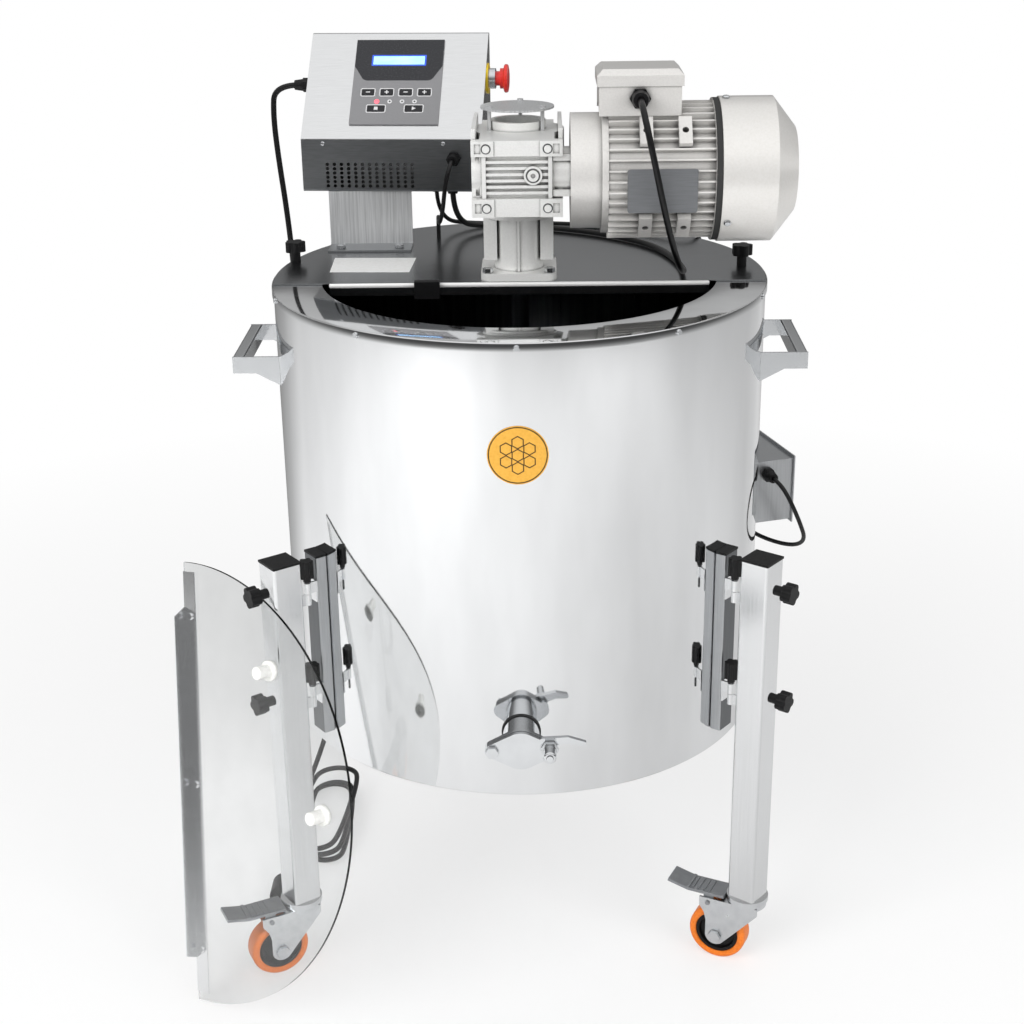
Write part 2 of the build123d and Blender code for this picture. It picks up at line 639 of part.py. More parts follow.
def motor_nodes() -> dict:
    """Motor housing with adapter, rotor with fan, fan cover and terminal box."""
    nodes = {}
    x_a, x_b, x_c, x_d = MOTOR_X
    axis = (WORM_Y, GEAR_Z)
    body = cyl_x(ADAPTER_R, x_a, x_b - 6, *axis) + cyl_x(ADAPTER_R + 6, x_b - 8, x_b, *axis)
    body += cyl_x(MOTOR_CORE_R, x_b, x_c, *axis)
    fin = block((x_b, x_c - 8), (-FIN_T / 2, FIN_T / 2), (MOTOR_CORE_R - 3, MOTOR_R))
    place = Pos(0, WORM_Y, GEAR_Z)
    fins = [place * Rot(360 / FIN_COUNT * index, 0, 0) * fin for index in range(FIN_COUNT)]
    body = body.fuse(*fins)
    pad = block((-8, 8), (-19, 19), (MOTOR_CORE_R - 2, MOTOR_R + 5))
    pad -= cyl_z(4, MOTOR_R - 4, MOTOR_R + 6)
    for x in (157, 204):
        for turn in (48, 132):
            body += place * Pos(x, 0, 0) * Rot(turn, 0, 0) * pad
    bore = ROTOR_SHAFT_R + RUN_FIT
    body -= cyl_x(STATOR_R, x_b + 8, x_c - 8, *axis)
    body -= cyl_x(bore, x_a - 5, x_c + 5, *axis)
    body -= cyl_x(ADAPTER_R - 12, x_a + 10, x_b - 10, *axis)
    shaft = cyl_x(ROTOR_SHAFT_R, WORM_HALF + SLIP, x_c + 40, *axis)
    shaft += cyl_x(ROTOR_R, x_b + 22, x_c - 22, *axis)
    fan = cyl_x(FAN_R, x_c + 14, x_c + 17, *axis) + cyl_x(20, x_c + 14, x_c + 38, *axis)
    blade = block((x_c + 16, x_c + 36), (-1.2, 1.2), (18, FAN_R))
    for index in range(FAN_BLADES):
        fan += place * Rot(360 / FAN_BLADES * index, 0, 0) * blade
    nodes["motor_rotor"] = shaft + fan
    outline = [(x_c, 0), (x_c, COVER_R), (COVER_TAPER_X, COVER_R), (x_d, COVER_END_R), (x_d, 0)]
    inner_end = x_d - COVER_WALL
    in_r = COVER_R - COVER_WALL
    hollow = [(x_c - 1, 0), (x_c - 1, in_r), (COVER_TAPER_X, in_r)]
    hollow += [(inner_end, COVER_END_R - COVER_WALL), (inner_end, 0)]
    cover = revolve(make_face(Plane.XZ * Polyline(*outline, close=True)), Axis.X)
    cover -= revolve(make_face(Plane.XZ * Polyline(*hollow, close=True)), Axis.X)
    holes = []
    for r, count in ((16, 6), (28, 12), (40, 18)):
        for index in range(count):
            angle = 2 * math.pi * index / count
            holes.append(cyl_x(4, x_d - 10, x_d + 5, r * math.cos(angle), r * math.sin(angle)))
    cover = cover.cut(*holes)
    spigot = ring_z(in_r - SLIP, in_r - SLIP - 3, 0, 6)
    body_ring = Pos(x_c - 1, WORM_Y, GEAR_Z) * Rot(0, 90, 0) * spigot
    body += body_ring
    body += cyl_x(in_r - SLIP, x_c - 8, x_c - 0.5, *axis)
    nodes["motor_housing"] = body - cyl_x(bore, x_c - 20, x_c + 9, *axis)
    nodes["fan_cover"] = place * cover
    lid_z = TERM_Z[1] - TERM_LID
    side_y = (WORM_Y - TERM_HALF_Y, WORM_Y + TERM_HALF_Y)
    term = block(TERM_X, side_y, (lid_z, TERM_Z[1]))
    term = chamfer(term.edges().group_by(Axis.Z)[-1], 7)
    base_x = (TERM_X[0] + TERM_LIP, TERM_X[1] - TERM_LIP)
    base_y = (side_y[0] + TERM_LIP, side_y[1] - TERM_LIP)
    term += block(base_x, base_y, (TERM_Z[0], lid_z))
    room_y = (base_y[0] + 3, base_y[1] - 3)
    term -= block((base_x[0] + 3, base_x[1] - 3), room_y, (TERM_Z[0] - 5, TERM_Z[1] - 9))
    term -= cyl_x(MOTOR_R + SEAT, TERM_X[0] - 5, TERM_X[1] + 5, *axis)
    nodes["terminal_box"] = [term, gland(TERM_GLAND, LEAD_D, GLAND_L, TERM_GLAND_R)]
    return nodes


TERM_GLAND = Pos(TERM_GLAND_AT[0], WORM_Y - TERM_HALF_Y + TERM_LIP, TERM_GLAND_AT[1]) * Rot(90, 0, 0)


def stirrer() -> Part:
    """Shaft with three levels of pitched paddles."""
    shaft = cyl_z(SHAFT_R, STIR_BOTTOM, STIR_TOP)
    for z, turn in BLADE_LEVELS:
        shaft += cyl_z(SHAFT_R + 6, z - 24, z + 24)
        for side in (0, 180):
            blade = Pos(BLADE_L / 2, 0, 0) * Rot(BLADE_PITCH, 0, 0) * Box(BLADE_L, BLADE_W, BLADE_T)
            shaft += Pos(0, 0, z) * Rot(0, 0, turn + side) * blade
    return shaft


BOX = Pos(*BOX_AT) * Rot(0, 0, BOX_YAW)
SLOPE = math.degrees(math.atan2(BOX_TOP - BOX_KNEE, BOX_TOP_Y))
PANEL = BOX * Pos(PANEL_X, 0, BOX_KNEE) * Rot(SLOPE, 0, 0) * Pos(0, PANEL_UP, 0)
MAINS_GLAND = BOX * Pos(-BOX_W / 2, *MAINS_GLAND_AT) * Rot(0, -90, 0)
SWITCH_GLAND = BOX * Pos(SWITCH_GLAND_AT[0], 0, SWITCH_GLAND_AT[1]) * Rot(90, 0, 0)
MOTOR_GLAND = BOX * Pos(*MOTOR_GLAND_AT, 0) * Rot(180, 0, 0)
HEAT_GLAND = BOX * Pos(*HEAT_GLAND_AT, 0) * Rot(180, 0, 0)


def control_nodes() -> dict:
    """Sloped control box on its stand, with membrane panel, keys and stop button."""
    nodes = {}
    outline = [(0, 0), (0, BOX_KNEE), (BOX_TOP_Y, BOX_TOP), (BOX_DEPTH, BOX_TOP), (BOX_DEPTH, 0)]
    half = BOX_W / 2
    shell = prism_x(outline, -half, half)
    shell = fillet(shell.edges().filter_by(Axis.X), 3)
    w = BOX_WALL
    drop = w / math.cos(math.radians(SLOPE))
    inner = [
        (w, w),
        (w, BOX_KNEE - drop + w * math.tan(math.radians(SLOPE))),
        (BOX_TOP_Y + w * 0.7, BOX_TOP - w),
        (BOX_DEPTH - w, BOX_TOP - w),
        (BOX_DEPTH - w, w),
    ]
    shell -= prism_x(inner, -half + w, half - w)
    holes = []
    for column in range(VENT_GRID[0]):
        for row in range(VENT_GRID[1]):
            x = VENT_MID[0] + (column - (VENT_GRID[0] - 1) / 2) * VENT_PITCH[0]
            z = VENT_MID[1] + (row - (VENT_GRID[1] - 1) / 2) * VENT_PITCH[1]
            holes.append(cyl_y(VENT_R, -2, w + 2, x, z))
    shell = shell.cut(*holes)
    disc = Rot(0, 90, 0) * extrude(Circle(ESTOP_DISC_R), amount=ESTOP_DISC_T)
    collar = Rot(0, 90, 0) * extrude(Circle(ESTOP_COLLAR_R), amount=ESTOP_COLLAR_L)
    well = ESTOP_COLLAR_R - 4 + RUN_FIT
    bezel = disc + collar - cyl_x(well, 2, ESTOP_COLLAR_L + 5, 0, 0)
    at_stop = BOX * Pos(half, ESTOP_Y, ESTOP_Z)
    solids = [BOX * shell, at_stop * bezel]
    solids.append(gland(MAINS_GLAND, LEAD_D))
    solids.append(gland(SWITCH_GLAND, THIN_D))
    solids.append(gland(MOTOR_GLAND, LEAD_D, SHORT_GLAND_L))
    solids.append(gland(HEAT_GLAND, THIN_D, SHORT_GLAND_L))
    nodes["control_box"] = solids
    head_x = ESTOP_COLLAR_L + ESTOP_TRAVEL + 1.5
    head = Pos(head_x, 0, 0) * Rot(0, 90, 0) * extrude(Circle(ESTOP_HEAD_R), amount=12)
    head = fillet(head.edges().group_by(Axis.X)[-1], 6)
    stem = cyl_x(ESTOP_COLLAR_R - 4, 2 + ESTOP_TRAVEL + FREE, head_x + 1, 0, 0)
    nodes["estop_button"] = at_stop * (head + stem)
    nodes["control_stand"] = stand()
    panel = Pos(0, 0, PANEL_T / 2) * Box(PANEL_W, PANEL_H, PANEL_T)
    panel = fillet(panel.edges().filter_by(Axis.Z), PANEL_CORNER)
    for name, step, up, width in KEYS:
        spot = Pos(step * KEY_PITCH, up, 0)
        panel -= spot * Box(width + 2 * FREE, KEY_H + 2 * FREE, 4 * PANEL_T)
        key = Pos(0, 0, PANEL_T + KEY_PROUD - KEY_T / 2) * Box(width, KEY_H, KEY_T)
        key = fillet(key.edges().filter_by(Axis.Z), 1.5)
        nodes[name] = PANEL * spot * key
    nodes["control_panel"] = PANEL * panel
    return nodes


def stand() -> list:
    """Bent sheet under the control box with two foot bolts."""
    base = PLATE_TOP - BOX_AT[2]
    x = (STAND_MID - STAND_W / 2, STAND_MID + STAND_W / 2)
    y0, y1 = STAND_Y
    sheet = block(x, (y0, y1), (base, base + STAND_T))
    sheet += block(x, (y1 - STAND_T, y1), (base, 0))
    sheet += block(x, (y1 - STAND_T, y1 + STAND_SEAT), (-STAND_T, 0))
    place = Pos(*BOX_AT)
    solids = [place * sheet]
    for side in (-0.35, 0.35):
        spot = Pos(STAND_MID + side * STAND_W, y0 + STAND_BOLT, base + STAND_T)
        solids.append(place * spot * hex_head(6.5, 5))
    return solids


def leg_nodes() -> dict:
    """Brackets with hinges on the tank, and the three legs with their casters."""
    nodes = {"leg_brackets": [], "hinge_pins": [], "star_knobs": []}
    bracket_out = TANK_R + BRACKET_D
    for name, az in LEG_AZ.items():
        side = LEG_SIDE[name]
        frame = radial(az)
        half = BRACKET_W / 2
        tube = block((TANK_R + SEAT, bracket_out), (-half, half), BRACKET_Z)
        tube = fillet(tube.edges().filter_by(Axis.Z), 2.5)
        hollow = (TANK_R + SEAT + LEG_WALL, bracket_out - LEG_WALL)
        tube -= block(hollow, (-half + LEG_WALL, half - LEG_WALL), (BRACKET_Z[0] - 1, BRACKET_Z[1] + 1))
        cap = block((TANK_R + SEAT, bracket_out), (-half, half), (BRACKET_Z[1], BRACKET_Z[1] + CAP_T))
        leg = leg_tube()
        pin_y = side * PIN_OFF
        reach = HINGE_LEN / 2
        for z in HINGE_Z:
            upper = (z + FREE / 2, z + reach)
            lower = (z - reach, z - FREE / 2)
            leaf_y = (side * half, -side * 8)
            leaf_z = (z - reach, z + reach)
            tube += block((bracket_out, bracket_out + LEAF_T), leaf_y, leaf_z)
            tube += block((bracket_out, PIN_AT), (pin_y - 1.5, pin_y + 1.5), upper)
            tube += cyl_z(BARREL_R, *upper, PIN_AT, pin_y)
            tube -= cyl_z(PIN_R + RUN_FIT, z - reach, z + reach + 1, PIN_AT, pin_y)
            leg += block((LEG_IN - LEAF_T, LEG_IN), leaf_y, leaf_z)
            leg += block((PIN_AT, LEG_IN), (pin_y - 1.5, pin_y + 1.5), lower)
            leg += cyl_z(BARREL_R, *lower, PIN_AT, pin_y)
            leg -= cyl_z(PIN_R + RUN_FIT, z - reach - 1, z + reach, PIN_AT, pin_y)
            pin = cyl_z(PIN_R, z - reach, z + reach + 2, PIN_AT, pin_y)
            nodes["hinge_pins"].append(frame * pin)
            knob = star_knob(PIN_KNOB_R, 5, 5, PIN_KNOB_H)
            nodes["star_knobs"].append(frame * Pos(PIN_AT, pin_y, z + reach + 2) * knob)
        nodes["leg_brackets"] += [frame * tube, frame * cap]
        leg_cap = block((LEG_IN, LEG_IN + LEG_A), (-LEG_A / 2, LEG_A / 2), (LEG_Z[1], LEG_Z[1] + CAP_T))
        plate = cyl_z(RACE_R + 2, RACE_GAP_Z, LEG_Z[0], LEG_R, 0)
        plate += cyl_z(KINGPIN_R, FORK_TOP - 9, RACE_GAP_Z + 1, LEG_R, 0)
        plate += cyl_z(KINGPIN_R + 5, FORK_TOP - 9, FORK_TOP - 4 - FREE, LEG_R, 0)
        nodes["leg_tube_" + name] = [frame * leg, frame * leg_cap, frame * plate]
        knob = Rot(0, 90, 0) * star_knob(STAR_R, STAR_NECK_R, STAR_NECK_H, STAR_H)
        nodes["leg_knobs_" + name] = [frame * Pos(LEG_IN + LEG_A, 0, z) * knob for z in LEG_KNOB_Z]
        nodes.update(caster_nodes(name, frame * Pos(LEG_R, 0, 0)))
    plate_knob = star_knob(STAR_R, STAR_NECK_R, STAR_NECK_H, STAR_H)
    for az, inset in PLATE_KNOBS:
        nodes["star_knobs"].append(Pos(*polar(az, TANK_R - inset, PLATE_TOP)) * plate_knob)
    return nodes


def leg_tube() -> Part:
    """Square tube of a leg with a closed foot."""
    half = LEG_A / 2
    tube = block((LEG_IN, LEG_IN + LEG_A), (-half, half), LEG_Z)
    tube = fillet(tube.edges().filter_by(Axis.Z), 4)
    inner = (LEG_IN + LEG_WALL, LEG_IN + LEG_A - LEG_WALL)
    return tube - block(inner, (-half + LEG_WALL, half - LEG_WALL), (LEG_Z[0] + 4, LEG_Z[1] + 1))


def caster_nodes(name: str, at: Location) -> dict:
    """Fork, wheel and brake pedal of one caster."""
    spot = at.position
    place = Pos(spot.X, spot.Y, 0) * Rot(0, 0, CASTER_DIR[name])
    out = FORK_IN + FORK_T
    front = TRAIL + FORK_END_R
    nose = PEDAL_PIVOT[0] + 12
    cheek_points = [(-20, FORK_TOP), (nose, FORK_TOP), (nose, 84), (front + 3, 74), (front, 62)]
    cheek_points += [(front, WHEEL_OR), (TRAIL, WHEEL_OR - 6), (TRAIL - 10.6, WHEEL_OR - 9.1), (-20, 86)]
    fork = block((-20, 32), (-out, out), (FORK_TOP - 4, FORK_TOP))
    for y0 in (FORK_IN, -out):
        fork += prism_y(cheek_points, y0, y0 + FORK_T)
        fork += cyl_y(FORK_END_R, y0, y0 + FORK_T, TRAIL, WHEEL_OR)
    fork += cyl_z(RACE_R, FORK_TOP - 4, RACE_GAP_Z - FREE)
    fork -= cyl_z(KINGPIN_R + RUN_FIT, 60, 110)
    fork -= cyl_y(AXLE_R + RUN_FIT, -50, 50, TRAIL, WHEEL_OR)
    px, pz = PEDAL_PIVOT
    fork -= cyl_y(PEDAL_PIN_R + RUN_FIT, -50, 50, px, pz)
    bolt = cyl_y(AXLE_R, -out - 4, out + 4, TRAIL, WHEEL_OR)
    bolt += Pos(TRAIL, -out, WHEEL_OR) * Rot(90, 0, 0) * hex_head(9, 6)
    bolt += Pos(TRAIL, out, WHEEL_OR) * Rot(-90, 0, 0) * hex_head(9, 6)
    tyre = cyl_y(WHEEL_OR, -TYRE_W / 2, TYRE_W / 2, TRAIL, WHEEL_OR)
    tyre = fillet(tyre.edges(), 5)
    tyre -= cyl_y(TYRE_IN, -30, 30, TRAIL, WHEEL_OR)
    hub = cyl_y(TYRE_IN, -TYRE_W / 2 + 2, TYRE_W / 2 - 2, TRAIL, WHEEL_OR)
    hub -= cyl_y(TYRE_IN - 5, -30, -TYRE_W / 2 + 7, TRAIL, WHEEL_OR)
    hub -= cyl_y(TYRE_IN - 5, TYRE_W / 2 - 7, 30, TRAIL, WHEEL_OR)
    hub += cyl_y(AXLE_R + 6, -HUB_W / 2, HUB_W / 2, TRAIL, WHEEL_OR)
    hub -= cyl_y(AXLE_R + RUN_FIT, -30, 30, TRAIL, WHEEL_OR)
    x0, x1, x2 = PEDAL_X
    z0, z1 = PEDAL_Z, PEDAL_Z + PEDAL_T
    tread = [(x0, z0), (x1, z0), (x2, z0 + PEDAL_RISE), (x2 - 1, z1 + PEDAL_RISE), (x1 - 0.5, z1), (x0, z1)]
    pad = prism_y(tread, -FORK_IN, FORK_IN)
    pad = fillet(pad.edges().filter_by(Axis.Y, reverse=True).group_by(Axis.X)[-1], 1)
    for index in range(4):
        x = x1 - 6 - index * 8
        pad += block((x - 1.5, x + 1.5), (-FORK_IN + 3, FORK_IN - 3), (z1 - 1, z1 + 1.6))
    pad += block((x1 - 2, x1 + 2), (-FORK_IN, FORK_IN), (z0 + 0.5, z1 + 1.6))
    for y in (-FORK_IN + FREE, FORK_IN - FREE - 2.5):
        pad += block((px - 7, px + 7), (y, y + 2.5), (pz - 6, PEDAL_Z + 1))
    pad += cyl_y(PEDAL_PIN_R, -out - 2, out + 2, px, pz)
    return {
        "caster_fork_" + name: [place * fork, place * bolt],
        "wheel_" + name: [place * tyre, place * hub],
        "brake_pedal_" + name: place * pad,
    }


def lid_nodes() -> dict:
    """Clear half lid leaning on the left leg, with its edge strip and knobs."""
    yaw = math.radians(LID_YAW)
    lean = math.radians(LID_LEAN)
    tilt = math.radians(LID_TILT)
    along = Vector(math.cos(yaw), math.sin(yaw), 0)
    facing = Vector(math.sin(yaw), -math.cos(yaw), 0)
    rise = Vector(0, 0, 1) * math.cos(lean) - facing * math.sin(lean)
    up = rise * math.cos(tilt) + along * math.sin(tilt)
    across = along * math.cos(tilt) - rise * math.sin(tilt)
    foot = Vector(*polar(LEG_AZ["left"], LEG_R, 0)) + Vector(*LID_FOOT)
    # The arc passes the upper leg knob by a set distance, so a wider lid stands further out
    knob_at = Vector(*polar(LEG_AZ["left"], LEG_IN + LEG_A + STAR_NECK_H, LEG_KNOB_Z[0])) - foot
    beside = knob_at.dot(across)
    above = knob_at.dot(up) - LID_R
    middle = knob_at.dot(along) - LID_R * up.dot(along)
    room = beside**2 + above**2 - (LID_R + LID_PASS) ** 2
    foot += along * (middle - math.sqrt(middle**2 - room))
    frame = Plane(origin=foot + up * LID_R, x_dir=across, z_dir=across.cross(up))
    half_t = LID_T / 2
    far = 2 * LID_R
    sheet = Cylinder(LID_R, LID_T) - block((-far, 0), (-far, far), (-LID_T, LID_T))
    end = LID_R - STRIP_END
    front = half_t + SLIP / 3
    strip = block((0, STRIP_W), (-end, end), (front, front + STRIP_T))
    rim = front + STRIP_FOLD
    low_end, high_end = -STRIP_FOLD_HALF, STRIP_FOLD_HALF
    fold = [(low_end, front), (high_end, front)]
    fold += [(high_end - STRIP_MITRE, rim), (low_end + STRIP_MITRE / 2, rim)]
    strip += prism_x(fold, 0, STRIP_T)
    knob = Pos(0, 0, LID_KNOB_T / 2) * Cylinder(LID_KNOB_R, LID_KNOB_T)
    stub = fillet(Cylinder(LID_STUB_R, LID_STUB_L).edges().group_by(Axis.Z)[-1], 1.5)
    knob += Pos(0, 0, LID_KNOB_T + LID_STUB_L / 2) * stub
    place = frame.location
    knobs = [place * Pos(u, v, half_t) * knob for u, v in LID_KNOBS]
    screw = extrude(Circle(SCREW_HEAD_R + 1), amount=SCREW_HEAD_T, taper=18)
    screws = [place * Pos(STRIP_W / 2 + STRIP_T, v, front + STRIP_T) * screw for v in STRIP_SCREWS]
    return {"lid_sheet": place * sheet, "lid_strip": [place * strip] + screws, "lid_knobs": knobs}


def polar(az: float, r: float, z: float) -> tuple:
    """Point at an azimuth counted from the front."""
    angle = math.radians(az)
    return (r * math.sin(angle), -r * math.cos(angle), z)


def cord(name: str, points: list, d: float) -> Part:
    """Round cord along straight runs joined by tangent arcs."""
    spots = [Vector(*point) for point in points]
    radii = []
    for before, here, after in zip(spots, spots[1:], spots[2:]):
        half = math.radians((here - before).get_angle(after - here)) / 2
        short = min((here - before).length, (after - here).length)
        radii.append(0.45 * short / math.tan(half))
    path = FilletPolyline(*spots, radius=radii)
    tube = sweep(Plane(origin=path @ 0, z_dir=path % 0) * Circle(d / 2), path=path)
    share = tube.volume / (math.pi * d * d / 4 * path.length)
    print(name, "length", round(path.length), "least radius", round(min(radii), 1))
    print(name, "volume share", round(share, 4), "least gap", round(self_gap(path, d), 2))
    print(name, [tuple(round(v, 1) for v in point) for point in points])
    return tube


def self_gap(path: Wire, d: float) -> float:
    """Least clear distance between strands of one cord."""
    count = int(path.length / 6)
    spots = [path @ (index / count) for index in range(count + 1)]
    apart = int(8 * d / 6)
    gaps = [(a - b).length for index, a in enumerate(spots) for b in spots[index + apart:]]
    return min(gaps) - d if gaps else d


def hank_points() -> list:
    """Loose ovals of spare mains lead on the floor, rising loop by loop from the plug."""
    mid_x, mid_y = HANK_MID
    base = LEAD_D / 2 + CORD_LIFT
    plug_x, plug_y = PLUG_AT
    left = mid_x - HANK_LOOPS[0][0]
    points = [(plug_x, plug_y + SEAT, PLUG_R), (plug_x, plug_y + 34, PLUG_R)]
    points += [(left - 13, plug_y + 88, base), (left - 14, mid_y - 15, base), (left - 11, mid_y + 52, base)]
    total = HANK_SPOTS * len(HANK_LOOPS)
    for spot in range(total):
        loop, step = divmod(spot, HANK_SPOTS)
        share = step / HANK_SPOTS
        here = HANK_LOOPS[loop]
        after = HANK_LOOPS[min(loop + 1, len(HANK_LOOPS) - 1)]
        wide, long, dx, dy, turn = [a + (b - a) * share for a, b in zip(here, after)]
        u, v = oval_spot(step, wide, long)
        angle = math.radians(turn)
        x = mid_x + dx + u * math.cos(angle) - v * math.sin(angle)
        y = mid_y + dy + u * math.sin(angle) + v * math.cos(angle)
        points.append((x, y, base + HANK_RISE * spot / HANK_SPOTS))
    return points


def oval_spot(step: int, wide: float, long: float) -> tuple:
    """One of twelve points on a long oval with round ends, from its far left clockwise."""
    half = HANK_SPOTS // 2
    side = 1 if step < half else -1
    if step % half == half - 1:
        return (side * (wide + 3), 0.0)
    angle = math.radians(180 - 45 * (step % half))
    return (side * wide * math.cos(angle), side * (long - wide + wide * math.sin(angle)))


def cord_nodes() -> dict:
    """Mains lead with its hank and plug, and the leads between the housings."""
    hank = hank_points()
    last = Vector(*hank[-1])
    tail = Vector(last.X + 9, last.Y + 64, last.Z + 9)
    step = (tail - last).normalized()
    lead = [tuple(tail + step * SEAT), tuple(tail + step * 46)]
    lead += [(-322, 247, 104), (-321, 236, 196), (-325, 224, 300), (-327, 223, 410), (-325, 222, 520)]
    lead += [(-327, 223, 630), (-326, 222, 740), (-329, 224, 850), (-335, 227, 950), (-345, 240, 1030)]
    lead += [(-350, 250, 1086)]
    lead += mouth(MAINS_GLAND, GLAND_L, 30)[::-1]
    lie = PLATE_TOP + LEAD_D / 2 + CORD_LIFT
    thin_lie = PLATE_TOP + THIN_D / 2 + CORD_LIFT
    motor = mouth(TERM_GLAND, GLAND_L, 20)
    motor += [(156, -168, 1128), (167, -168, 1080), (179, -161, 1026), (193, -138, 974), (207, -84, lie + 16)]
    motor += [(217, -10, lie), (208, 64, lie), (184, 138, lie), (134, 198, lie), (72, 244, lie)]
    motor += [(8, 266, lie), (-48, 264, lie + 1)] + mouth(MOTOR_GLAND, SHORT_GLAND_L, 42)[::-1]
    frame = radial(JBOX_AZ)
    heater = mouth(HEATER_GLAND, GLAND_L, 20)
    loop = [(350, -118, 596), (366, -122, 560), (384, -108, 524), (378, -76, 504)]
    loop += [(352, -30, 503), (338, 30, 508), (326, 78, 530)]
    for spot in loop:
        point = (frame * Pos(*spot)).position
        heater.append((point.X, point.Y, point.Z))
    heater += [polar(126.5, 331, 590), polar(127.5, 330, 668), polar(127, 331, 750), polar(127.5, 330, 830)]
    heater += [polar(128, 332, 900), polar(131, 322, 938), polar(140, 298, 926), polar(152, 296, thin_lie)]
    heater += [polar(167, 296, thin_lie), polar(182, 297, thin_lie), polar(193, 299, thin_lie + 1)]
    heater += mouth(HEAT_GLAND, SHORT_GLAND_L, 42)[::-1]
    switch = mouth(SWITCH_GLAND, GLAND_L, 18)
    switch += [(-101, 116, 1012), (-106, 122, 970), (-114, 160, 946), (*SWITCH_HOLE, 952), (*SWITCH_HOLE, 896)]
    switch += [(-118, 140, 893), (-117, 62, 896), (-118, -2, SWITCH_Z), (-118, SWITCH_BACK + SEAT, SWITCH_Z)]
    nodes = {
        "mains_coil": cord("mains_coil", hank + [tuple(tail)], LEAD_D),
        "mains_lead": cord("mains_lead", lead, LEAD_D),
        "motor_lead": cord("motor_lead", motor, LEAD_D),
        "heater_lead": cord("heater_lead", heater, THIN_D),
        "switch_lead": cord("switch_lead", switch, THIN_D),
    }
    plug = cyl_y(PLUG_R, PLUG_AT[1] - PLUG_L, PLUG_AT[1] - 8, PLUG_AT[0], PLUG_R + CORD_LIFT)
    plug = fillet(plug.edges(), 2)
    plug += cyl_y(PLUG_R * 0.5, PLUG_AT[1] - 9, PLUG_AT[1], PLUG_AT[0], PLUG_R)
    for side in (-9.5, 9.5):
        plug += cyl_y(2.4, PLUG_AT[1] - PLUG_L - 19, PLUG_AT[1] - PLUG_L + 1, PLUG_AT[0] + side, PLUG_R)
    nodes["mains_plug"] = plug
    return nodes


def export(nodes: dict) -> None:
    """Write one file per node."""
    os.makedirs("parts", exist_ok=True)
    for name, shape in nodes.items():
        pieces = shape if isinstance(shape, list) else [shape]
        solids = [solid for piece in pieces for solid in piece.solids()]
        export_step(Compound(solids), "parts/" + name + ".step")
        print(name, len(solids), round(sum(solid.volume for solid in solids)))


if __name__ == "__main__":
    built = {**tank_nodes(), "junction_box": junction_box(), **drive_nodes(), **control_nodes()}
    built.update({**leg_nodes(), **lid_nodes(), **cord_nodes()})
    export(built)
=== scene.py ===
"""Looks of the honey creamer: a polished mixing tank on three caster legs with a geared stirrer."""
import logging
import math
from dataclasses import dataclass, field
from typing import Optional, Sequence

import bpy
from mathutils import Matrix, Vector


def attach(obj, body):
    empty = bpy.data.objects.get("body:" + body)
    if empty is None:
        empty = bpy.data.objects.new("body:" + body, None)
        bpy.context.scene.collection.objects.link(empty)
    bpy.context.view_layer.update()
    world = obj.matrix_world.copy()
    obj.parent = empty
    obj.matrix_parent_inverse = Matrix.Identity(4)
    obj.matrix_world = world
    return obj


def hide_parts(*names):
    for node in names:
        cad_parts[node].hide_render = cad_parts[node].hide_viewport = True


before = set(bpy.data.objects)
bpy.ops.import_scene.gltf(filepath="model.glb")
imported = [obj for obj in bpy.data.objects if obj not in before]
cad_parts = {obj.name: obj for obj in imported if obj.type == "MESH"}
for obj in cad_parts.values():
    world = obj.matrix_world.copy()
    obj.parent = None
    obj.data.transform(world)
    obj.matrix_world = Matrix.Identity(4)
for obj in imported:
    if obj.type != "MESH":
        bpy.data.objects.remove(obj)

MM = 0.001
DOUBLES = 1e-6          # metres: closer corners of a new piece are one
FACET_DOUBLES = 2e-6    # metres: closer corners of a solid's facets are one
FLAT_ANGLE = 0.3        # degrees: a solid's facets under it are one face
PIECE_EDGE = 30         # degrees: edges of a new piece over it are rounded
SOLID_EDGE = 32         # degrees: edges of a solid over it are rounded
SPLIT_ANGLE = 40        # degrees: shading of a solid breaks over it
EDGE_STEPS = 2
PLUG_PINS_Y = -108.2
LOG = logging.getLogger("creamer")
Point = Sequence[float]


def linear(code: str, alpha: float = 1.0) -> tuple:
    """Turn an sRGB hex colour into linear values.

    Args:
        code: six hex digits after a hash.
        alpha: fourth value.

    Returns:
        Red, green, blue and alpha.
    """
    values = [int(code[index:index + 2], 16) / 255 for index in (1, 3, 5)]
    return tuple(v / 12.92 if v <= 0.04045 else ((v + 0.055) / 1.055) ** 2.4 for v in values) + (alpha,)


def add_node(tree: bpy.types.NodeTree, kind: str, settings: dict, links: Optional[dict] = None) -> bpy.types.Node:
    """Add one shader node with its settings and incoming links.

    Args:
        tree: node tree to add to.
        kind: node type.
        settings: values by property name, or by input name or number.
        links: source sockets by input name or number.

    Returns:
        The new node.
    """
    made = tree.nodes.new(kind)
    for key, value in settings.items():
        if isinstance(key, str) and hasattr(made, key):
            setattr(made, key, value)
        else:
            made.inputs[key].default_value = value
    for key, source in (links or {}).items():
        tree.links.new(source, made.inputs[key])
    return made


def add_ramp(tree: bpy.types.NodeTree, source: bpy.types.NodeSocket, stops: Sequence) -> bpy.types.NodeSocket:
    """Add a colour ramp.

    Args:
        tree: node tree to add to.
        source: socket that drives the ramp.
        stops: pairs of position and linear grey value or colour.

    Returns:
        The ramp's colour.
    """
    ramp = add_node(tree, "ShaderNodeValToRGB", {}, {"Fac": source})
    elements = ramp.color_ramp.elements
    while len(elements) < len(stops):
        elements.new(0.5)
    for element, (place, value) in zip(elements, stops):
        element.position = place
        element.color = value if isinstance(value, tuple) else (value, value, value, 1)
    return ramp.outputs["Color"]


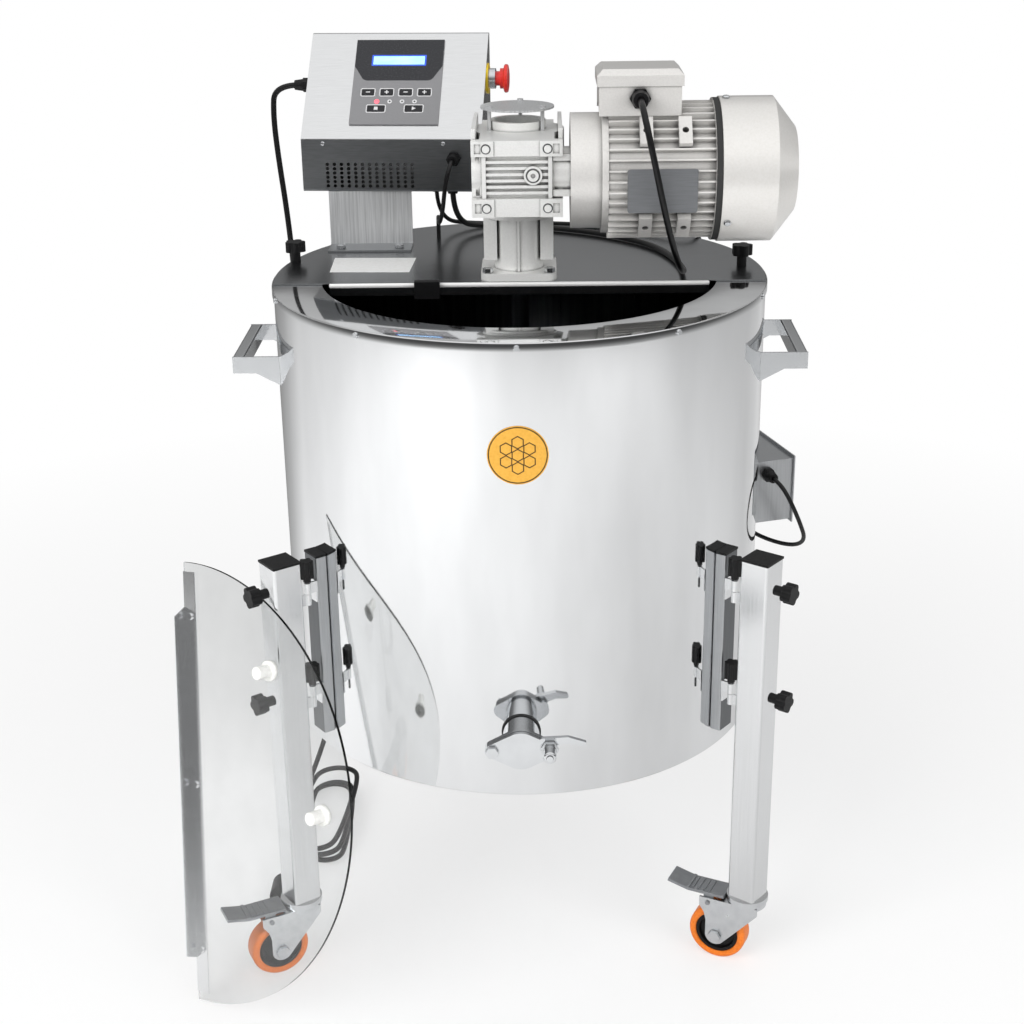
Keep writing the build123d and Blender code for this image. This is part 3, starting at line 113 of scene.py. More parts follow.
def add_range(tree: bpy.types.NodeTree, source: bpy.types.NodeSocket, span: Point,
              onto: Point = (0.0, 1.0)) -> bpy.types.NodeSocket:
    """Map one span of values onto another.

    Args:
        tree: node tree to add to.
        source: socket of the value.
        span: least and greatest value.
        onto: what they become.

    Returns:
        The mapped value.
    """
    limits = {"From Min": span[0], "From Max": span[1], "To Min": onto[0], "To Max": onto[1]}
    return add_node(tree, "ShaderNodeMapRange", limits, {"Value": source}).outputs["Result"]


def add_mix(tree: bpy.types.NodeTree, share: object, first: object, second: object,
            blend: str = "MIX") -> bpy.types.NodeSocket:
    """Mix two colours, each input given as a socket or a value.

    Args:
        tree: node tree to add to.
        share: share of the second colour.
        first: first colour.
        second: second colour.
        blend: how the colours are mixed.

    Returns:
        The mixed colour.
    """
    settings, links = {"data_type": "RGBA", "blend_type": blend}, {}
    for key, item in ((0, share), (6, first), (7, second)):
        (links if isinstance(item, bpy.types.NodeSocket) else settings)[key] = item
    return add_node(tree, "ShaderNodeMix", settings, links).outputs[2]


def seen_directly(tree: bpy.types.NodeTree, rays: bpy.types.Node) -> bpy.types.NodeSocket:
    """Tell rays from the camera, also through the clear lid, from all others.

    Args:
        tree: node tree to add to.
        rays: light path node.

    Returns:
        One for such a ray, or else nought.
    """
    return add_node(tree, "ShaderNodeMath", {"operation": "MAXIMUM"},
                    {0: rays.outputs["Is Camera Ray"], 1: rays.outputs["Is Transmission Ray"]}).outputs[0]


def add_modifier(obj: bpy.types.Object, name: str, kind: str, **settings: object) -> str:
    """Add a modifier with its settings.

    Args:
        obj: mesh object.
        name: name of the modifier.
        kind: modifier type.
        settings: values by property name.

    Returns:
        The modifier's name.
    """
    made = obj.modifiers.new(name, kind)
    for key, value in settings.items():
        setattr(made, key, value)
    return made.name


@dataclass(frozen=True)
class Finish:
    """A material of the machine: what it is made of and how its surface was worked."""
    name: str
    colour: str
    shade: str
    rough: tuple = (0.3, 0.45)
    metallic: float = 0.0
    grain: tuple = (2.0, 2.0, 2.0)
    relief: float = 0.0
    ior: float = 1.5
    coat: float = 0.0
    transmission: float = 0.0
    glow: float = 0.0
    # Reach in millimetres of painted shade that darkens corners and crevices, 0 for none.
    crease: float = 0.0

    def material(self) -> bpy.types.Material:
        """Return the node material, made on first use."""
        found = bpy.data.materials.get(self.name)
        return found if found else self.build()

    def build(self) -> bpy.types.Material:
        """Make the material: grain in millimetres along each axis gives tone, gloss and relief, and crease paints
        shade into corners and crevices.

        Returns:
            The new material.
        """
        made = bpy.data.materials.new(self.name)
        made.use_nodes = True
        tree = made.node_tree
        shader = tree.nodes["Principled BSDF"]
        shader.inputs["Metallic"].default_value = self.metallic
        shader.inputs["Transmission Weight"].default_value = self.transmission
        shader.inputs["Coat Weight"].default_value = self.coat
        if self.metallic < 0.5:
            shader.inputs["IOR"].default_value = self.ior
        place = add_node(tree, "ShaderNodeTexCoord", {})
        scale = Vector([1 / (size * MM) for size in self.grain])
        mapped = add_node(tree, "ShaderNodeMapping", {"Scale": scale}, {"Vector": place.outputs["Object"]})
        noise = add_node(tree, "ShaderNodeTexNoise", {"Scale": 1.0, "Detail": 3.0, "Roughness": 0.55},
                         {"Vector": mapped.outputs["Vector"]})
        colour = add_ramp(tree, noise.outputs["Fac"], [(0.3, linear(self.shade)), (0.62, linear(self.colour))])
        # Painted shade: ambient occlusion darkens the colour in corners and crevices.
        if self.crease:
            crevice_shade = add_node(tree, "ShaderNodeAmbientOcclusion", {"samples": 6, "Distance": self.crease * MM})
            depth = add_ramp(tree, crevice_shade.outputs["AO"], [(0.25, 0.16), (0.8, 1.0)])
            colour = add_mix(tree, 1.0, colour, depth, "MULTIPLY")
        tree.links.new(colour, shader.inputs["Base Color"])
        gloss = add_range(tree, noise.outputs["Fac"], (0.25, 0.75), self.rough)
        tree.links.new(gloss, shader.inputs["Roughness"])
        if self.relief:
            bump = add_node(tree, "ShaderNodeBump", {"Strength": 1.0, "Distance": self.relief * MM},
                            {"Height": noise.outputs["Fac"]})
            tree.links.new(bump.outputs["Normal"], shader.inputs["Normal"])
        if self.glow:
            shader.inputs["Emission Color"].default_value = linear(self.colour)
            shader.inputs["Emission Strength"].default_value = self.glow
        return made


# Polished stainless sheet: a mirror with a faint rolled waviness.
POLISHED = Finish("polished_stainless", "#EFF0F1", "#E6E7E8", (0.035, 0.075), 1.0, (70.0, 70.0, 260.0), 0.05)
# Stainless inside the tank: rougher than the jacket, with painted shade darkening its colour.
TANK_INSIDE = Finish("shaded_inner_stainless", "#6E7072", "#55585A", (0.25, 0.4), 1.0, (6.0, 6.0, 160.0))
# Brushed stainless tube: grit lines of 0.2 mm along the tube, drawn at 1.6 mm so that they show.
BRUSHED_UP = Finish("brushed_stainless_tube", "#EDEEEF", "#E7E8E9", (0.19, 0.24), 1.0, (1.6, 1.6, 90.0))
# Brushed stainless sheet, lines across the box, drawn at 1.6 mm so that they show.
BRUSHED_WIDE = Finish("brushed_stainless_sheet", "#EDEEEF", "#E8E9EA", (0.23, 0.27), 1.0, (80.0, 1.6, 1.6))
# The same sheet on the lower front of the box, ground coarser, with painted shade darkening it where it is turned from
# the light.
SHADED = Finish("shaded_stainless_sheet", "#86888A", "#7C7E80", (0.3, 0.36), 1.0, (80.0, 1.6, 1.6))
# Ground stainless of the leg brackets, duller than the legs, also used as painted shade on the foot of the box's
# stand; and painted shade on the bracket face behind the hinges.
BRACKET = Finish("ground_stainless_bracket", "#BCBEC0", "#B2B4B6", (0.3, 0.36), 1.0, (1.6, 1.6, 60.0))
HINGE_SHADE = Finish("shaded_stainless_bracket", "#76787A", "#6C6E70", (0.36, 0.44), 1.0, (1.6, 1.6, 60.0))
# Bent and polished sheet of the handles.
HANDLE = Finish("polished_handle_sheet", "#CBCDCF", "#C4C6C8", (0.1, 0.16), 1.0, (60.0, 60.0, 60.0))
# Coarsely brushed sheet of the box's stand and the gearbox cap: pale and streaked, with little mirror.
STREAKED = Finish("streaked_stainless_sheet", "#DADBDC", "#BEBFC0", (0.3, 0.38), 0.6, (1.8, 1.8, 70.0))
# Rolled front edge of the rear cover, blasted to a pale matt white.
ROLLED = Finish("blasted_rolled_edge", "#F2F2F1", "#ECECEB", (0.34, 0.4), 0.3, (20.0, 2.0, 2.0))
# Satin stainless of the rear cover: fine cross grain that blurs what it mirrors.
SATIN = Finish("satin_stainless_cover", "#A6A8AA", "#9EA0A2", (0.22, 0.27), 1.0, (70.0, 2.0, 70.0))
# Machined and polished stainless of the outlet gate, with painted shade in its corners.
MACHINED = Finish("machined_stainless", "#E1E3E5", "#DADCDE", (0.05, 0.1), 1.0, (25.0, 25.0, 25.0), crease=5.0)
# Zinc-plated pressed steel: bluish grey with soft clouding, and painted shade in its corners.
ZINC = Finish("zinc_plated_steel", "#E6E8EA", "#DADCDF", (0.22, 0.28), 1.0, (14.0, 14.0, 14.0), crease=4.0)
# Sandblasted die-cast aluminium: 0.4 mm grit, drawn at 1.8 mm so that it shows, with painted shade in its corners.
CAST = Finish("diecast_aluminium", "#F5F5F3", "#EEEEEC", (0.36, 0.46), 0.45, (1.8, 1.8, 1.8), 0.004, crease=4.5)
# Silver powder paint on the motor: orange peel of 2 mm, with painted shade in its corners and between its fins.
MOTOR_PAINT = Finish("silver_motor_paint", "#DCDAD7", "#D5D3D0", (0.3, 0.38), 0.35, (2.2, 2.2, 2.2), 0.003, coat=0.15,
                     crease=9.0)
# Silver paint on the pressed fan cover: smoother and a little paler.
COVER_PAINT = Finish("silver_cover_paint", "#DFDDDA", "#DAD8D4", (0.28, 0.34), 0.35, (3.0, 3.0, 3.0), 0.002, coat=0.2)
# Moulded black nylon of knobs and caps: spark-eroded grain drawn at 1.5 mm.
BLACK_PLASTIC = Finish("moulded_black_nylon", "#0F0F10", "#09090A", (0.4, 0.55), 0.0, (1.5, 1.5, 1.5), 0.01, 1.4)
# Soft black rubber of seals and pads, also laid as painted shade in the gap behind the fan cover.
BLACK_RUBBER = Finish("black_rubber", "#111111", "#0B0B0B", (0.55, 0.7), 0.0, (2.0, 2.0, 2.0), 0.01, 1.4)
# White acetal of the lid knobs.
WHITE_PLASTIC = Finish("turned_white_acetal", "#F1F1EE", "#E6E6E2", (0.3, 0.42), 0.0, (4.0, 4.0, 4.0), 0.01)
# Clear cast acrylic of the lid.
ACRYLIC = Finish("clear_cast_acrylic", "#F1F2F2", "#EDEEEE", (0.0, 0.01), 0.0, (60.0, 60.0, 60.0), 0.0, 1.49,
                 transmission=1.0)
# Cast bronze of the worm wheel, and turned steel of the shafts, also laid as rings of painted shade round the gearbox
# screws.
BRONZE = Finish("turned_bronze", "#B98A4B", "#9C713A", (0.3, 0.45), 1.0, (2.0, 2.0, 2.0), 0.01)
DARK_STEEL = Finish("turned_dark_steel", "#7D7F82", "#66686B", (0.25, 0.4), 1.0, (20.0, 2.0, 2.0), 0.01)
# Screen-printed polyester film of the control panel.
FILM_GREY = Finish("grey_panel_film", "#858587", "#7F7F81", (0.38, 0.48), 0.0, (1.5, 1.5, 1.5), 0.004)
FILM_DARK = Finish("dark_panel_film", "#26272B", "#202125", (0.22, 0.3), 0.0, (1.5, 1.5, 1.5), 0.006)
FILM_PALE = Finish("pale_panel_print", "#D9D9DA", "#CFCFD0", (0.4, 0.5))
KEY_PLASTIC = Finish("black_key_film", "#1C1C20", "#151518", (0.3, 0.4), 0.0, (1.5, 1.5, 1.5), 0.01)
SCREEN_EDGE = Finish("blue_screen_edge", "#3457C9", "#2746B4", (0.15, 0.2), 0.0, (6.0, 6.0, 6.0), glow=0.5)
SCREEN = Finish("lit_blue_screen", "#A9DAFF", "#7FBEF6", (0.12, 0.18), 0.0, (30.0, 9.0, 9.0), glow=0.7)
LAMP_RED = Finish("lit_red_lamp", "#FF6A78", "#FF4A5C", (0.2, 0.3), glow=1.0)
# Moulded polycarbonate of the stop button and its plate.
RED_PLASTIC = Finish("moulded_red_plastic", "#E0342B", "#CF2620", (0.25, 0.35), 0.0, (2.0, 2.0, 2.0), 0.01, coat=0.3)
YELLOW_PLASTIC = Finish("yellow_plate_plastic", "#E9C91F", "#DDBB12", (0.3, 0.4), 0.0, (2.0, 2.0, 2.0), 0.01)
# Cast polyurethane tyre.
TYRE = Finish("orange_polyurethane", "#EC7D1A", "#DB6C10", (0.3, 0.42), 0.0, (3.0, 3.0, 3.0), 0.02, coat=0.1)
# Smooth black PVC sheath.
CORD_PVC = Finish("black_pvc_sheath", "#0E0E0F", "#080809", (0.3, 0.4), 0.0, (3.0, 3.0, 3.0), 0.01, 1.45)
# Grey silicone of the heating mat, inside the jacket.
SILICONE = Finish("grey_silicone_mat", "#7C7A77", "#6C6A67", (0.5, 0.65), 0.0, (3.0, 3.0, 3.0), 0.03)
# Gold-anodised badge and its dark print.
GOLD = Finish("gold_anodised_badge", "#E4AC46", "#DAA23C", (0.3, 0.4), 0.2, (3.0, 3.0, 3.0), 0.003)
BADGE_INK = Finish("dark_badge_print", "#4A3412", "#3D2A0D", (0.4, 0.5))
# White vinyl sticker and etched grey plate, both left blank.
VINYL = Finish("white_vinyl_label", "#F4F4F3", "#ECECEA", (0.35, 0.45), 0.0, (5.0, 5.0, 5.0), 0.004)
ETCHED = Finish("etched_grey_plate", "#85878A", "#7D7F82", (0.32, 0.4), 0.6, (30.0, 1.5, 1.5), 0.003)
# Pressed steel of the brake pedals, greyer than the forks.
PEDAL_STEEL = Finish("pressed_grey_steel", "#A2A4A7", "#989A9D", (0.28, 0.34), 0.9, (14.0, 14.0, 14.0))


class Bench:
    """Hand tools on the modelling operators."""

    @staticmethod
    def clear() -> None:
        """Leave edit mode and deselect everything."""
        if bpy.context.object and bpy.context.object.mode != "OBJECT":
            bpy.ops.object.mode_set(mode="OBJECT")
        bpy.ops.object.select_all(action="DESELECT")

    @staticmethod
    def take(obj: bpy.types.Object) -> bpy.types.Object:
        """Make one object the only selected and active one."""
        Bench.clear()
        obj.select_set(True)
        bpy.context.view_layer.objects.active = obj
        return obj

    @staticmethod
    def named(name: str) -> bpy.types.Object:
        """Name the active object and its mesh, and return it."""
        obj = bpy.context.object
        obj.name = name
        obj.data.name = name
        return obj

    @staticmethod
    def bake() -> None:
        """Put the place of the selected object into its mesh."""
        bpy.ops.object.transform_apply(location=True, rotation=True, scale=True)

    @staticmethod
    def trace(name: str, points: Sequence[Point], close: bool = False) -> bpy.types.Object:
        """Extrude one vertex along a line of points and fill it where it closes.

        Args:
            name: object name.
            points: places in millimetres.
            close: whether the line closes on itself and gets a face.

        Returns:
            The object, in edit mode with everything selected.
        """
        Bench.clear()
        bpy.ops.mesh.primitive_plane_add(size=0.001, location=(0, 0, 0))
        obj = Bench.named(name)
        spots = [Vector(point) * MM for point in points]
        bpy.ops.object.mode_set(mode="EDIT")
        bpy.ops.mesh.select_mode(type="VERT")
        bpy.ops.mesh.select_all(action="SELECT")
        bpy.ops.mesh.merge(type="CENTER")
        bpy.ops.transform.translate(value=spots[0])
        for before, after in zip(spots, spots[1:]):
            bpy.ops.mesh.extrude_region_move(TRANSFORM_OT_translate={"value": after - before})
        bpy.ops.mesh.select_all(action="SELECT")
        if close:
            bpy.ops.mesh.edge_face_add()
        return obj

    @staticmethod
    def tidy(obj: bpy.types.Object, place: Optional[Matrix] = None) -> bpy.types.Object:
        """Merge doubles, turn faces outwards and bake the place into the mesh.

        Args:
            obj: mesh object.
            place: frame in metres to put it in.

        Returns:
            The object, at the origin.
        """
        Bench.take(obj)
        bpy.ops.object.mode_set(mode="EDIT")
        bpy.ops.mesh.select_all(action="SELECT")
        bpy.ops.mesh.remove_doubles(threshold=DOUBLES)
        bpy.ops.mesh.normals_make_consistent(inside=False)
        bpy.ops.object.mode_set(mode="OBJECT")
        if place is not None:
            obj.matrix_world = place
        Bench.bake()
        return obj

    @staticmethod
    def lathe(name: str, profile: Sequence[Point], place: Optional[Matrix] = None, steps: int = 64,
              close: bool = False) -> bpy.types.Object:
        """Spin a profile about the Z axis of a frame.

        Args:
            name: object name.
            profile: pairs of radius and height in millimetres.
            place: frame in metres.
            steps: facets round.
            close: whether the profile is a closed ring.

        Returns:
            The turned piece.
        """
        line = [(r, 0, z) for r, z in profile]
        if close:
            line.append(line[0])
        obj = Bench.trace(name, line)
        bpy.ops.mesh.spin(steps=steps, angle=2 * math.pi, center=(0, 0, 0), axis=(0, 0, 1))
        return Bench.tidy(obj, place)

    @staticmethod
    def plate(name: str, outline: Sequence[Point], z0: float, z1: float,
              place: Optional[Matrix] = None) -> bpy.types.Object:
        """Fill an outline and extrude it to a plate.

        Args:
            name: object name.
            outline: pairs in millimetres.
            z0: height of the face.
            z1: height of the extruded face.
            place: frame in metres.

        Returns:
            The plate.
        """
        obj = Bench.trace(name, [(x, y, z0) for x, y in outline], close=True)
        bpy.ops.mesh.extrude_region_move(TRANSFORM_OT_translate={"value": (0, 0, (z1 - z0) * MM)})
        return Bench.tidy(obj, place)

    @staticmethod
    def block(name: str, x: Point, y: Point, z: Point, place: Optional[Matrix] = None) -> bpy.types.Object:
        """Add a cube at its size and place, given as ranges in millimetres, and return it."""
        Bench.clear()
        mids = [(pair[0] + pair[1]) / 2 * MM for pair in (x, y, z)]
        sizes = [(pair[1] - pair[0]) * MM for pair in (x, y, z)]
        bpy.ops.mesh.primitive_cube_add(size=1, location=mids, scale=sizes)
        obj = Bench.named(name)
        Bench.bake()
        return Bench.tidy(obj, place)

    @staticmethod
    def soften(obj: bpy.types.Object, width: float) -> bpy.types.Object:
        """Round the edges of a piece with a bevel and smooth it.

        Args:
            obj: mesh object.
            width: bevel width in millimetres.

        Returns:
            The object.
        """
        Bench.take(obj)
        edge = add_modifier(obj, "edge", "BEVEL", width=width * MM, segments=EDGE_STEPS, limit_method="ANGLE",
                            angle_limit=math.radians(PIECE_EDGE))
        bpy.ops.object.modifier_apply(modifier=edge)
        Bench.smooth(obj)
        level = add_modifier(obj, "level", "WEIGHTED_NORMAL", keep_sharp=True)
        bpy.ops.object.modifier_apply(modifier=level)
        return obj

    @staticmethod
    def smooth(obj: bpy.types.Object, angle: float = 35) -> bpy.types.Object:
        """Shade a piece smooth up to an angle and return it."""
        Bench.take(obj)
        bpy.ops.object.shade_smooth_by_angle(angle=math.radians(angle))
        return obj

    @staticmethod
    def join(name: str, pieces: Sequence[bpy.types.Object]) -> bpy.types.Object:
        """Join pieces of one finish to one object and return it."""
        Bench.take(pieces[0])
        for piece in pieces[1:]:
            piece.select_set(True)
        bpy.ops.object.join()
        return Bench.named(name)


def settle(obj: bpy.types.Object, finish: Finish, body: str, slot: str, *nodes: str) -> bpy.types.Object:
    """Give a new piece its finish and body, and hide the solids that it stands for.

    Args:
        obj: the piece.
        finish: its material.
        body: moving body that carries it.
        slot: material slot of the record; not used.
        nodes: solids that it replaces.

    Returns:
        The piece.
    """
    obj.data.materials.clear()
    obj.data.materials.append(finish.material())
    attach(obj, body)
    if nodes:
        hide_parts(*nodes)
    LOG.info("piece %s on %s", obj.name, body)
    return obj


def dress(node: str, finish: Finish, edge: float = 0.5, zones: Sequence = ()) -> None:
    """Give a solid its finish, softened edges and smooth shading.

    Args:
        node: name of the solid's node.
        finish: main material.
        edge: width of the softened edges in millimetres, 0 for none.
        zones: pairs of another finish and a test on a face's middle in millimetres.
    """
    obj = Bench.take(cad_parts[node])
    bpy.ops.mesh.customdata_custom_splitnormals_clear()
    obj.data.materials.clear()
    for item in [finish] + [zone[0] for zone in zones]:
        obj.data.materials.append(item.material())
    for face in obj.data.polygons:
        face.use_smooth = True
        face.material_index = 0
        spot = face.center / MM
        for index, zone in enumerate(zones):
            if zone[1](spot):
                face.material_index = index + 1
    add_modifier(obj, "weld", "WELD", merge_threshold=FACET_DOUBLES)
    add_modifier(obj, "flat", "DECIMATE", decimate_type="DISSOLVE", angle_limit=math.radians(FLAT_ANGLE),
                 delimit={"MATERIAL"})
    if edge:
        add_modifier(obj, "edge", "BEVEL", width=edge * MM, segments=EDGE_STEPS, limit_method="ANGLE",
                     angle_limit=math.radians(SOLID_EDGE))
    add_modifier(obj, "crease", "EDGE_SPLIT", split_angle=math.radians(SPLIT_ANGLE))
    add_modifier(obj, "level", "WEIGHTED_NORMAL", keep_sharp=True)
    LOG.info("solid %s", node)


def turn_x(place: Point) -> Matrix:
    """Frame at a place in millimetres whose Z axis points along +X."""
    return Matrix.Translation(Vector(place) * MM) @ Matrix.Rotation(math.pi / 2, 4, "Y")


def turn_y(place: Point) -> Matrix:
    """Frame at a place in millimetres whose Z axis points along -Y."""
    return Matrix.Translation(Vector(place) * MM) @ Matrix.Rotation(math.pi / 2, 4, "X")


def arc(mid: Point, radius: float, start: float, end: float, steps: int) -> list:
    """Points of an arc, angles in degrees."""
    angles = [math.radians(start + (end - start) * index / steps) for index in range(steps + 1)]
    return [(mid[0] + radius * math.cos(a), mid[1] + radius * math.sin(a)) for a in angles]


def rounded(x: Point, y: Point, radius: float, steps: int = 5) -> list:
    """Outline of a rectangle with rounded corners."""
    corners = ((x[1], y[1], 0), (x[0], y[1], 90), (x[0], y[0], 180), (x[1], y[0], 270))
    line = []
    for px, py, start in corners:
        mid = (px - math.copysign(radius, px - sum(x) / 2), py - math.copysign(radius, py - sum(y) / 2))
        line += arc(mid, radius, start, start + 90, steps)
    return line


def band(inner: float, outer: float, low: float, high: float) -> list:
    """Profile of a plain ring, or of a disc where the inner radius is 0."""
    return [(inner, low), (outer, low), (outer, high), (inner, high)]


@dataclass
class Tank:
    """Double-walled tank with its rim, handles, badge and outlet."""
    outer: float = 322.0
    inner: float = 259.0
    bottom: float = 317.0
    floor: float = 384.0
    ring_z: float = 912.0
    rim_top: float = 914.0
    skirt: float = 324.15
    skirt_drop: float = 11.0
    sheet: float = 1.5
    heavy_sheet: float = 2.0
    bottom_bend: float = 3.0
    inner_bend: float = 4.0
    rim_bend: float = 1.5
    rim_edge: float = 0.4
    badge_r: float = 36.5
    badge_z: float = 777.0
    badge_ahead: float = 30.0
    cell: float = 8.4
    cell_line: float = 1.5
    cell_gap: float = 1.4
    steps: int = 288

    def build(self) -> None:
        """Turn the shells and dress the solids of the tank."""
        r, z0, top, bend = self.outer, self.bottom, self.ring_z, self.bottom_bend
        base = z0 + self.heavy_sheet
        skin = [(0, z0), (r - bend, z0)] + arc((r - bend, z0 + bend), bend, -90, 0, 5)[1:]
        skin += [(r, top), (r - self.sheet, top), (r - self.sheet, base), (0, base)]
        jacket = Bench.smooth(Bench.lathe("jacket_skin", skin, None, self.steps))
        settle(jacket, POLISHED, "machine", "polished_steel", "outer_jacket")
        under, wall = self.floor - self.sheet, self.inner + self.sheet
        cup = [(0, under), (wall, under), (wall, top), (self.inner, top), (self.inner, self.floor + self.inner_bend)]
        cup += [(self.inner - self.inner_bend, self.floor), (0, self.floor)]
        inside = Bench.smooth(Bench.lathe("inner_wall", cup, None, self.steps))
        settle(inside, TANK_INSIDE, "machine", "polished_steel", "inner_tank")
        out, high, bend, edge = self.skirt, self.rim_top, self.rim_bend, self.rim_edge
        low, behind = high - self.skirt_drop, out - self.heavy_sheet
        rim = [(self.inner, top), (self.inner, high - edge), (self.inner + edge, high)]
        rim += arc((out - bend, high - bend), bend, 90, 0, 4) + [(out, low), (behind, low), (behind, top)]
        ring = Bench.smooth(Bench.lathe("rim_band", rim, None, self.steps, close=True))
        settle(ring, POLISHED, "machine", "polished_steel", "rim_ring")
        dress("rim_screws", ZINC, 0.3)
        dress("heating_mat", SILICONE, 0)
        dress("handles", HANDLE, 0.5)
        for node in ("outlet_spout", "gate_plate", "gate_clamp_nut"):
            dress(node, MACHINED, 0.8)
        dress("gate_seal", BLACK_RUBBER, 0.3)
        self.badge(jacket)

    def badge(self, wall: bpy.types.Object) -> None:
        """Lay a plain round badge with a comb of seven cells on the tank wall.

        Args:
            wall: the jacket that the badge follows.
        """
        Bench.clear()
        front = turn_y((0, -self.outer - self.badge_ahead, self.badge_z))
        disc = self.disc("badge_disc", self.badge_r, 0, 72, front)
        settle(self.wrap(disc, wall, 0.1, 0.5), GOLD, "machine", "polished_steel")
        prints = [self.disc("badge_rim", self.badge_r - 1.2, self.badge_r - 2.6, 72, front)]
        for index in range(7):
            angle = math.radians(60 * index)
            reach = 0 if index == 6 else self.cell * math.sqrt(3) + self.cell_gap
            spot = front @ Matrix.Translation((reach * math.sin(angle) * MM, reach * math.cos(angle) * MM, 0))
            prints.append(self.disc("badge_cell", self.cell, self.cell - self.cell_line, 6, spot))
        ink = Bench.join("badge_print", prints)
        settle(self.wrap(ink, wall, 0.62, 0.12), BADGE_INK, "machine", "polished_steel")

    @staticmethod
    def disc(name: str, outer: float, inner: float, count: int, place: Matrix) -> bpy.types.Object:
        """Make a flat disc or ring as concentric insets.

        Args:
            name: object name.
            outer: outer radius in millimetres.
            inner: radius of the hole, 0 for a full disc.
            count: corners round.
            place: frame in metres.

        Returns:
            The disc.
        """
        Bench.clear()
        bpy.ops.mesh.primitive_circle_add(vertices=count, radius=outer * MM, fill_type="NGON")
        obj = Bench.named(name)
        bpy.ops.object.mode_set(mode="EDIT")
        bpy.ops.mesh.select_all(action="SELECT")
        if inner:
            bpy.ops.mesh.inset(thickness=(outer - inner) * MM * (0.866 if count == 6 else 1.0))
            bpy.ops.mesh.delete(type="FACE")
            bpy.ops.mesh.select_all(action="SELECT")
            bpy.ops.mesh.subdivide(number_cuts=3 if count == 6 else 1)
        else:
            for _ in range(7):
                bpy.ops.mesh.inset(thickness=outer * MM / 8)
        bpy.ops.object.mode_set(mode="OBJECT")
        obj.matrix_world = place
        Bench.bake()
        return obj

    @staticmethod
    def wrap(obj: bpy.types.Object, wall: bpy.types.Object, lift: float, thick: float) -> bpy.types.Object:
        """Press a flat piece onto a wall behind it and give it its thickness.

        Args:
            obj: flat piece in front of the wall.
            wall: the wall.
            lift: gap over the wall in millimetres.
            thick: thickness in millimetres.

        Returns:
            The piece.
        """
        Bench.take(obj)
        press = add_modifier(obj, "press", "SHRINKWRAP", target=wall, wrap_method="PROJECT", use_project_y=True,
                             use_positive_direction=True, use_negative_direction=False, offset=lift * MM)
        bpy.ops.object.modifier_apply(modifier=press)
        body = add_modifier(obj, "body", "SOLIDIFY", thickness=thick * MM, offset=1.0)
        bpy.ops.object.modifier_apply(modifier=body)
        return Bench.smooth(obj)


@dataclass
class CoverPlate:
    """Rear half cover with its folded front lip, rolled bead and blank label."""
    radius: float = 322.0
    z: Point = (914.0, 916.0)
    sheet: float = 2.0
    front: float = -46.0
    lip_half: float = 245.98
    lip_drop: float = 15.0
    lip_under: float = 1.0
    bead: float = 3.5
    bead_end: float = 0.8
    label: Sequence = ((-254.0, 96.0), (-142.0, 92.0), (-146.0, 11.0), (-252.0, 15.0))
    label_z: Point = (0.05, 0.3)

    def build(self) -> None:
        """Cut the half disc, fold its lip and lay the label."""
        Bench.clear()
        low, top = self.z
        bpy.ops.mesh.primitive_cylinder_add(vertices=288, radius=self.radius * MM, depth=self.sheet * MM,
                                            location=(0, 0, (low + top) / 2 * MM))
        disc = Bench.named("cover_disc")
        Bench.bake()
        bpy.ops.object.mode_set(mode="EDIT")
        bpy.ops.mesh.select_all(action="SELECT")
        bpy.ops.mesh.bisect(plane_co=(0, self.front * MM, 0), plane_no=(0, 1, 0), use_fill=True, clear_inner=True)
        disc = Bench.soften(Bench.tidy(disc), 0.5)
        lip = Bench.block("cover_lip", (-self.lip_half, self.lip_half), (self.front, self.front + self.sheet),
                          (low - self.lip_drop, top - self.lip_under))
        lip = Bench.soften(lip, 0.4)
        self.roll()
        plate = Bench.join("cover_half", [disc, lip])
        settle(plate, SATIN, "machine", "polished_steel", "cover_plate")
        label = Bench.plate("blank_label", self.label, top + self.label_z[0], top + self.label_z[1])
        settle(Bench.soften(label, 0.1), VINYL, "machine", "white_plastic")
        dress("lid_switch", BLACK_PLASTIC, 0.8)

    def roll(self) -> None:
        """Turn the rolled bead of the front edge."""
        r, end, length = self.bead, self.bead_end, 2 * self.lip_half
        profile = [(0, 0), (r - end, 0), (r, end), (r, length - end), (r - end, length), (0, length)]
        place = turn_x((-self.lip_half, self.front + r / 2, self.z[1] - r))
        bead = Bench.smooth(Bench.lathe("cover_bead", profile, place, 32))
        settle(bead, ROLLED, "machine", "polished_steel")


